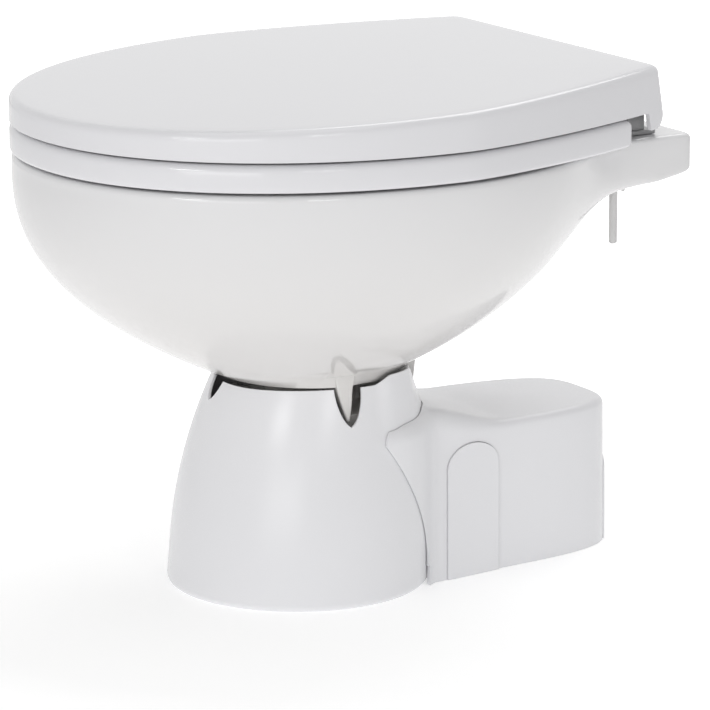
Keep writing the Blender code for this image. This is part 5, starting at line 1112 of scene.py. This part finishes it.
def make_pin(side, label):
    length = POST_X + HALF_KNUCKLE + CLEARANCE - PIN_START
    profile = (
        (0.0, 0.0), (PIN_RADIUS, 0.0), (PIN_RADIUS, length), (PIN_CAP_RADIUS, length),
        (PIN_CAP_RADIUS, length + 0.6 * PIN_CAP_LENGTH),
        (0.8 * PIN_CAP_RADIUS, length + PIN_CAP_LENGTH), (0.0, length + PIN_CAP_LENGTH))
    pin = turned(f"shown_hinge_pin_{label}", profile, "steel",
                 at=(side * PIN_START, HINGE_Y, HINGE_Z))
    pin.rotation_euler = (0, side * math.pi / 2, 0)
    settle(pin)


def make_hinge_bolt(side, label):
    x = side * HINGE_BOLT_X
    foot = SHELF_TOP + 2 * CLEARANCE + FOOT_THICKNESS
    head = foot + HINGE_BOLT_HEAD
    settle(turned(f"shown_hinge_bolt_{label}", (
        (0.0, head), (HINGE_BOLT_HEAD_RADIUS - BOLT_CHAMFER, head),
        (HINGE_BOLT_HEAD_RADIUS, head - BOLT_CHAMFER),
        (HINGE_BOLT_HEAD_RADIUS, foot), (HINGE_BOLT_RADIUS, foot),
        (HINGE_BOLT_RADIUS, HINGE_BOLT_BOTTOM + BOLT_CHAMFER),
        (HINGE_BOLT_RADIUS - BOLT_CHAMFER, HINGE_BOLT_BOTTOM), (0.0, HINGE_BOLT_BOTTOM)),
        "bolt_nylon", at=(x, HINGE_BOLT_Y, 0)))
    top = SPOT_FACE_Z - CLEARANCE
    inner = HINGE_BOLT_RADIUS + CLEARANCE
    settle(turned(f"shown_hinge_washer_{label}", (
        (WASHER_RADIUS, WASHER_THICKNESS), (WASHER_RADIUS, 0), (inner, 0),
        (inner, WASHER_THICKNESS)), "rubber", at=(x, HINGE_BOLT_Y, top - WASHER_THICKNESS)))
    top = top - WASHER_THICKNESS - CLEARANCE
    nut = rod(f"shown_hinge_wing_nut_{label}", WING_HUB_RADIUS, WING_HEIGHT, "bolt_nylon",
              at=(x, HINGE_BOLT_Y, top - WING_HEIGHT), soft=HUB_SOFT)
    wings = block("wings", (-WING_SPAN, -WING_THICKNESS / 2, -WING_HEIGHT),
                  (WING_SPAN, WING_THICKNESS / 2, -WING_HEIGHT / 4), soft=WING_SOFT)
    wings.location = (x, HINGE_BOLT_Y, top)
    join(nut, wings)
    cut(nut, bore(inner, WING_HEIGHT + 2 * OVERRUN,
                  (x, HINGE_BOLT_Y, top - WING_HEIGHT - OVERRUN)))
    settle(nut)


# Pedestal and motor cover

def bell_radius(z):
    share = max(0.0, (z - BELL_WAIST_HEIGHT) / (BELL_NECK_HEIGHT - BELL_WAIST_HEIGHT))
    return BELL_RADIUS - (BELL_RADIUS - BELL_NECK_RADIUS) * share ** 2


def bell_rows(inflate=0.0, extend=0.0):
    angles = [2 * math.pi * i / BELL_STEPS for i in range(BELL_STEPS)]

    def circle(radius, z, climb=0.0, lip=0.0):
        """A ring of the bell; climb is how much of the hood it has."""
        points = []
        centre = BELL_BASE_Y + (BELL_NECK_Y - BELL_BASE_Y) * z / BELL_NECK_HEIGHT
        fold = HOOD_FOLD * smooth_step(HOOD_LOW, BELL_NECK_HEIGHT, z)
        for angle in angles:
            depth = math.sin(angle)
            hood = climb * smooth_step(*HOOD_RISE_SHARES, depth)
            hood *= 1 - smooth_step(*HOOD_FALL_SHARES, depth)
            reach = radius + inflate + HOOD_SWELL * hood
            reach -= (fold + lip) * smooth_step(*HOOD_FOLD_SHARES, depth)
            height = z + HOOD_RISE * hood - NOSE_DIP * climb * max(0.0, -depth) ** 3
            points.append(polar(angle, reach, height, centre))
        return points

    rows = [circle(BELL_BASE_RADIUS, -extend)]
    for i in range(1, BASE_STEPS + 1):
        turn = math.pi / 2 * i / BASE_STEPS
        rows.append(circle(
            blend(BELL_BASE_RADIUS, BELL_RADIUS, math.sin(turn)),
            BELL_BASE_ROUND * (1 - math.cos(turn))))
    for share in BELL_SHARES:
        z = blend(BELL_WAIST_HEIGHT, BELL_NECK_HEIGHT, share)
        rows.append(circle(bell_radius(z), z, share ** HOOD_CLIMB_POWER))
    rows.append(circle(BELL_NECK_RADIUS, BELL_NECK_HEIGHT, 1.0, HOOD_LIP))
    return rows


def bell_slot(degrees, tip):
    """A leaf-shaped notch in the pedestal's upper edge."""
    half = SLOT_WIDTH / 2
    points = [(half, BELL_NECK_HEIGHT + HOOD_RISE + OVERRUN), (half, BELL_NECK_HEIGHT)]
    points += [(half * width, blend(tip, BELL_NECK_HEIGHT, height))
               for height, width in SLOT_SHARES]
    right = smooth_line(points + [(0.0, tip)])
    outline = right + [(-x, z) for x, z in reversed(right[:-1])]
    return round_the_bell(
        prism("slot", outline, FIN_ROOT, BELL_RADIUS + OVERRUN - FIN_ROOT), degrees)


def door_outline(half_width, shoulder, apex, margin=0.0):
    """An arch: straight sides from below the floor and an elliptic head."""
    half_width += margin
    turns = [math.pi * i / PANEL_ARCH_STEPS for i in range(PANEL_ARCH_STEPS + 1)]
    head = [(half_width * math.cos(turn), blend(shoulder, apex + margin, math.sin(turn)))
            for turn in turns]
    return [(half_width, -OVERRUN)] + head + [(-half_width, -OVERRUN)]


def make_pedestal():
    bell = shell(loft("shown_pedestal", bell_rows(), "shell_plastic"), SHOWN_WALL)
    cut(bell, *(bell_slot(*slot) for slot in SLOTS))
    outline = door_outline(
        REAR_DOOR_HALF_WIDTH, REAR_DOOR_HEIGHT - REAR_DOOR_ROUND, REAR_DOOR_HEIGHT)
    cut(bell, prism("rear_door", outline, REAR_DOOR_START, BELL_RADIUS))
    settle(bell)


def cover_half_width(y, inflate):
    """The cover's plan: a long rounded box that widens twice towards the pedestal."""
    reach = max(0.0, y - COVER_CENTRE_Y) / (COVER_HALF_LENGTH + inflate)
    keep = (1 - min(1.0, reach) ** COVER_POWER) ** (1 / COVER_POWER)
    taper = NECK_TAPER * (1 - smooth_step(*NECK_TAPER_RANGE, y))
    neck = max(0.0, min(1.0, y / NECK_FLARE_END))
    flare = NECK_FLARE * (1 - neck ** NECK_FLARE_POWER) ** 2
    return (COVER_HALF_WIDTH + inflate) * keep + taper + flare


def cover_plan(inflate):
    """Points (x, y) of the cover's right half, from its open front to the back."""
    stops = [
        COVER_START + (NECK_FLARE_END - COVER_START) * i / COVER_NECK_STEPS
        for i in range(COVER_NECK_STEPS)]
    stops += [
        NECK_FLARE_END + (COVER_STRAIGHT - NECK_FLARE_END) * i / COVER_SIDE_STEPS
        for i in range(COVER_SIDE_STEPS + 1)]
    points = [(cover_half_width(y, inflate), y) for y in stops]
    length = COVER_HALF_LENGTH + inflate
    first = math.asin(((COVER_STRAIGHT - COVER_CENTRE_Y) / length) ** (COVER_POWER / 2))
    for i in range(1, COVER_END_STEPS + 1):
        turn = first + (math.pi / 2 - first) * i / COVER_END_STEPS
        y = COVER_CENTRE_Y + length * math.sin(turn) ** (2 / COVER_POWER)
        points.append((cover_half_width(y, inflate) if i < COVER_END_STEPS else 0.0, y))
    return points


def neck_lift(y, z):
    """Sweep the box up towards the pedestal."""
    rise = 1 - smooth_step(*NECK_RISE_RANGE, y)
    return z * (1 + NECK_RISE * rise / COVER_TOP)


def cover_levels(y, inflate):
    """Insets and heights of the cover's skin over one plan point."""
    soft = 1 - smooth_step(*NECK_EDGE_RANGE, y)
    edge = blend(COVER_EDGE, NECK_EDGE, soft)
    straight = COVER_TOP - edge
    levels = [(COVER_DRAFT * share, straight * share) for share in COVER_ROW_SHARES]
    for i in range(1, ARC_STEPS + 1):
        turn = math.pi / 2 * i / ARC_STEPS
        levels.append((COVER_DRAFT + edge * (1 - math.cos(turn)),
                       straight + (edge + inflate) * math.sin(turn)))
    return levels


def cover_rows(inflate):
    """Half rows of the skin from the floor edge over the rounded edge to the spine."""
    end_length = COVER_CENTRE_Y + COVER_HALF_LENGTH - COVER_STRAIGHT
    columns = []
    for x, y in cover_plan(inflate):
        column = []
        for inset, height in cover_levels(y, inflate):
            at = y
            if y > COVER_STRAIGHT:
                at = blend(COVER_STRAIGHT, y, 1 - inset / end_length)
            column.append((x * (1 - inset / COVER_HALF_WIDTH), at, neck_lift(at, height)))
        edge_x, edge_y, _ = column[-1]
        inner_y = min(edge_y, COVER_STRAIGHT)
        for share in COVER_TOP_SHARES:
            at = blend(inner_y, edge_y, share)
            crown = COVER_CROWN * (1 - share * share)
            column.append((edge_x * share, at, neck_lift(at, COVER_TOP + inflate + crown)))
        columns.append(column)
    return [list(row) for row in zip(*columns)]


def cover_skin(name, inflate):
    rows = cover_rows(inflate)
    shape = bmesh.new()
    for side in (1, -1):
        net = [[shape.verts.new((side * x, y, z)) for x, y, z in row] for row in rows]
        for below, above in zip(net, net[1:]):
            for i in range(len(below) - 1):
                face = [below[i], below[i + 1], above[i + 1], above[i]]
                shape.faces.new(face[::side])
    bmesh.ops.remove_doubles(shape, verts=shape.verts, dist=WELD)
    bmesh.ops.dissolve_degenerate(shape, edges=shape.edges, dist=WELD)
    return shell(from_bmesh(name, shape, "shell_plastic"), COVER_WALL)


def seam_outline():
    """All that lies in front of the seam, as (y, z) points of a side view."""
    front = COVER_START - OVERRUN
    points = [(front, -OVERRUN), (SEAM_FOOT_Y, -OVERRUN), (SEAM_FOOT_Y, SEAM_LOW)]
    points += [(blend(SEAM_FOOT_Y, SEAM_FRONT_Y, share ** SEAM_POWER),
                blend(SEAM_LOW, SEAM_HIGH, share)) for share in shares(SEAM_STEPS)]
    for i in range(1, ARC_STEPS + 1):
        turn = math.pi / 2 * i / ARC_STEPS
        points.append((blend(SEAM_TOP_Y, SEAM_FRONT_Y, math.cos(turn)),
                       blend(SEAM_HIGH, SEAM_TOP, math.sin(turn))))
    return points + [(SEAM_TOP_Y, BELL_NECK_HEIGHT), (front, BELL_NECK_HEIGHT)]


def panel_tool(label, margin):
    """An arch-shaped prism through the left, right or rear wall of the cover."""
    if label == "rear":
        outline = door_outline(
            REAR_PANEL_HALF_WIDTH, REAR_PANEL_SHOULDER, REAR_PANEL_APEX, margin)
        start = COVER_CENTRE_Y + COVER_HALF_LENGTH - PANEL_REACH
        return prism("arch", outline, start, 2 * PANEL_REACH)
    outline = door_outline(PANEL_HALF_WIDTH, PANEL_SHOULDER, PANEL_APEX, margin)
    start = COVER_HALF_WIDTH - PANEL_REACH / 2
    return prism("arch", [(PANEL_Y + across, up) for across, up in outline],
                 start if label == "left" else -start - PANEL_REACH, PANEL_REACH, "X")


def make_cover():
    cover = cover_skin("shown_motor_cover", 0.0)
    reach = BELL_RADIUS + OVERRUN
    cut(cover, loft("bell_print", bell_rows(COVER_TO_BELL, OVERRUN)),
        prism("seam_cut", seam_outline(), -reach, 2 * reach, "X"),
        block("release_slots", (-reach, SEAM_FOOT_Y - OVERRUN, -OVERRUN),
              (reach, SEAM_FOOT_Y + RELEASE_SLOT_WIDTH, RELEASE_SLOT_HEIGHT)))
    cut(cover, *(panel_tool(label, CLEARANCE) for label in ("right", "left", "rear")))
    settle(cover)


def make_panels():
    for label in ("left", "right", "rear"):
        panel = cover_skin(f"shown_hose_panel_{label}", PANEL_PROUD)
        combine(panel, [panel_tool(label, 0.0)], "INTERSECT")
        settle(panel)


# Rinse-water inlet

def make_inlet():
    wall_y = inlet_face()
    lip_radius = INLET_HOLE_RADIUS + GROMMET_LIP
    lip_y = GROMMET_LIP_THICKNESS + CLEARANCE
    inner = INLET_PIPE_RADIUS + CLEARANCE
    outer = INLET_HOLE_RADIUS - CLEARANCE
    settle(turned("shown_inlet_grommet", (
        (inner, -INLET_PLUNGE), (inner, lip_y), (lip_radius, lip_y), (lip_radius, CLEARANCE),
        (outer, CLEARANCE), (outer, -INLET_PLUNGE)), "rubber", "Y", (0, wall_y, INLET_Z)))
    knee_y = wall_y + INLET_REACH
    elbow = rod("shown_inlet_elbow", INLET_PIPE_RADIUS,
                INLET_PLUNGE + INLET_REACH + INLET_PIPE_RADIUS, "dark_plastic", "Y",
                (0, wall_y - INLET_PLUNGE, INLET_Z), soft=ELBOW_SOFT)
    radius = INLET_PIPE_RADIUS - CLEARANCE
    profile = [(0, 0), (radius, 0)]
    for i in range(BARBS):
        foot = INLET_ARM - BARBS * BARB_PITCH + i * BARB_PITCH
        profile += [(radius, foot), (radius + BARB_HEIGHT, foot), (radius, foot + BARB_PITCH)]
    tail = turned("tail", profile + [(0, INLET_ARM)], at=(0, knee_y, INLET_Z))
    tail.rotation_euler = (0, -math.pi / 2, 0)
    join(elbow, tail)
    cut(elbow, rod("bore_in", INLET_PIPE_BORE, INLET_PLUNGE + INLET_REACH + OVERRUN, axis="Y",
                   at=(0, wall_y - INLET_PLUNGE - OVERRUN, INLET_Z)),
        rod("bore_aside", INLET_PIPE_BORE, INLET_ARM + OVERRUN, axis="X",
            at=(-INLET_ARM - OVERRUN, knee_y, INLET_Z)))
    settle(elbow)


SPOT_FACE_Z = shelf_underside(HINGE_BOLT_Y - SPOT_FACE_RADIUS)
make_bowl()
make_seat()
make_lid()
make_bumpers()
for hinge_side, hinge_label in ((1, "left"), (-1, "right")):
    make_post(hinge_side, hinge_label)
    make_pin(hinge_side, hinge_label)
    make_hinge_bolt(hinge_side, hinge_label)
make_pedestal()
make_cover()
make_panels()
make_inlet()

# The CAD nodes that are shown as they are get the same looks

for node in frame["nodes"].values():
    for material_slot in node.material_slots:
        if material_slot.material is None:
            continue
        own = material_slot.material.name.split(".")[0]
        if own in LOOKS:
            material_slot.link = "OBJECT"
            material_slot.material = LOOKS[own]


# Floor, light and camera

def make_floor():
    """A pale floor that glows a little, and more where only the camera sees it far off."""
    shape = bmesh.new()
    half = FLOOR_SIZE / 2
    shape.faces.new([shape.verts.new((x, y, 0)) for x, y in (
        (-half, -half), (half, -half), (half, half), (-half, half))])
    mesh = bpy.data.meshes.new("floor")
    shape.to_mesh(mesh)
    shape.free()
    floor = bpy.data.objects.new("floor", mesh)
    scene.collection.objects.link(floor)
    material, tree, shader = new_material("floor_look")
    grain = add_node(tree, "TexNoise", {"Scale": FLOOR_GRAIN})
    rough = add_node(tree, "MapRange", {
        "To Min": FLOOR_ROUGH[0], "To Max": FLOOR_ROUGH[1],
        "Value": grain.outputs["Fac"]})
    feed(tree, shader, {
        "Base Color": (0.90, 0.90, 0.90, 1), "Specular IOR Level": 0.0,
        "Roughness": rough.outputs["Result"]})
    spot = add_node(tree, "TexCoord")
    away = add_node(tree, "VectorMath", {0: spot.outputs["Object"]}, operation="LENGTH")
    spread = add_node(tree, "MapRange", {
        "From Min": GLOW_START, "From Max": GLOW_END, "To Min": 0.0, "To Max": FAR_GLOW,
        "Value": away.outputs["Value"]})
    rays = add_node(tree, "LightPath")
    level = add_node(tree, "Math", {
        0: rays.outputs["Is Camera Ray"], 1: spread.outputs["Result"]}, operation="MULTIPLY")
    total = add_node(tree, "Math", {0: level.outputs[0], 1: FLOOR_GLOW}, operation="ADD")
    glow = add_node(
        tree, "Emission", {"Color": (1, 1, 1, 1), "Strength": total.outputs[0]})
    both = add_node(tree, "AddShader", {0: shader.outputs[0], 1: glow.outputs[0]})
    feed(tree, tree.nodes["Material Output"], {"Surface": both.outputs[0]})
    mesh.materials.append(material)


def make_world():
    """White where it is seen, straight or in gloss, and a soft light elsewhere."""
    world = bpy.data.worlds.new("studio")
    scene.world = world
    world.use_nodes = True
    tree = world.node_tree
    rays = add_node(tree, "LightPath")
    seen = rays.outputs["Is Camera Ray"]
    for kind in ("Is Transmission Ray", "Is Glossy Ray"):
        seen = add_node(
            tree, "Math", {0: seen, 1: rays.outputs[kind]}, operation="MAXIMUM").outputs[0]
    level = add_node(tree, "MapRange", {"To Min": AMBIENT, "To Max": 1.0, "Value": seen})
    plain = tree.nodes["Background"]
    feed(tree, plain, {"Color": (1, 1, 1, 1), "Strength": level.outputs["Result"]})
    feed(tree, tree.nodes["World Output"], {"Surface": plain.outputs[0]})


def softbox(name, azimuth, elevation, distance, size, power):
    """An area light that looks at the toilet from a direction measured from +X."""
    az, el = math.radians(azimuth), math.radians(elevation)
    way = Vector((math.cos(az) * math.cos(el), math.sin(az) * math.cos(el), math.sin(el)))
    data = bpy.data.lights.new(name, "AREA")
    data.shape = "RECTANGLE"
    data.size, data.size_y = size
    data.energy = power
    lamp = bpy.data.objects.new(name, data)
    lamp.location = Vector(LOOK_AT) + way * distance
    lamp.rotation_euler = way.to_track_quat("Z", "Y").to_euler()
    scene.collection.objects.link(lamp)


def make_camera():
    az, el = CAMERA_AZIMUTH, CAMERA_ELEVATION
    back = Vector((math.sin(az) * math.cos(el), -math.cos(az) * math.cos(el), math.sin(el)))
    right = Vector((math.cos(az), math.sin(az), 0))
    target = right * CAMERA_SHIFT + Vector((0, 0, CAMERA_HEIGHT))
    data = bpy.data.cameras.new("camera")
    data.sensor_width = SENSOR_WIDTH
    data.lens = CAMERA_FOCUS / PHOTO_SIZE * data.sensor_width
    data.clip_start = 0.1
    camera = bpy.data.objects.new("camera", data)
    turn = Matrix((right, back.cross(right), back)).transposed().to_4x4()
    turn.translation = target + back * CAMERA_DISTANCE
    camera.matrix_world = turn
    scene.collection.objects.link(camera)
    scene.camera = camera


make_floor()
make_world()
for lamp in SOFTBOXES:
    softbox(*lamp)
make_camera()
scene.view_settings.view_transform = "Standard"
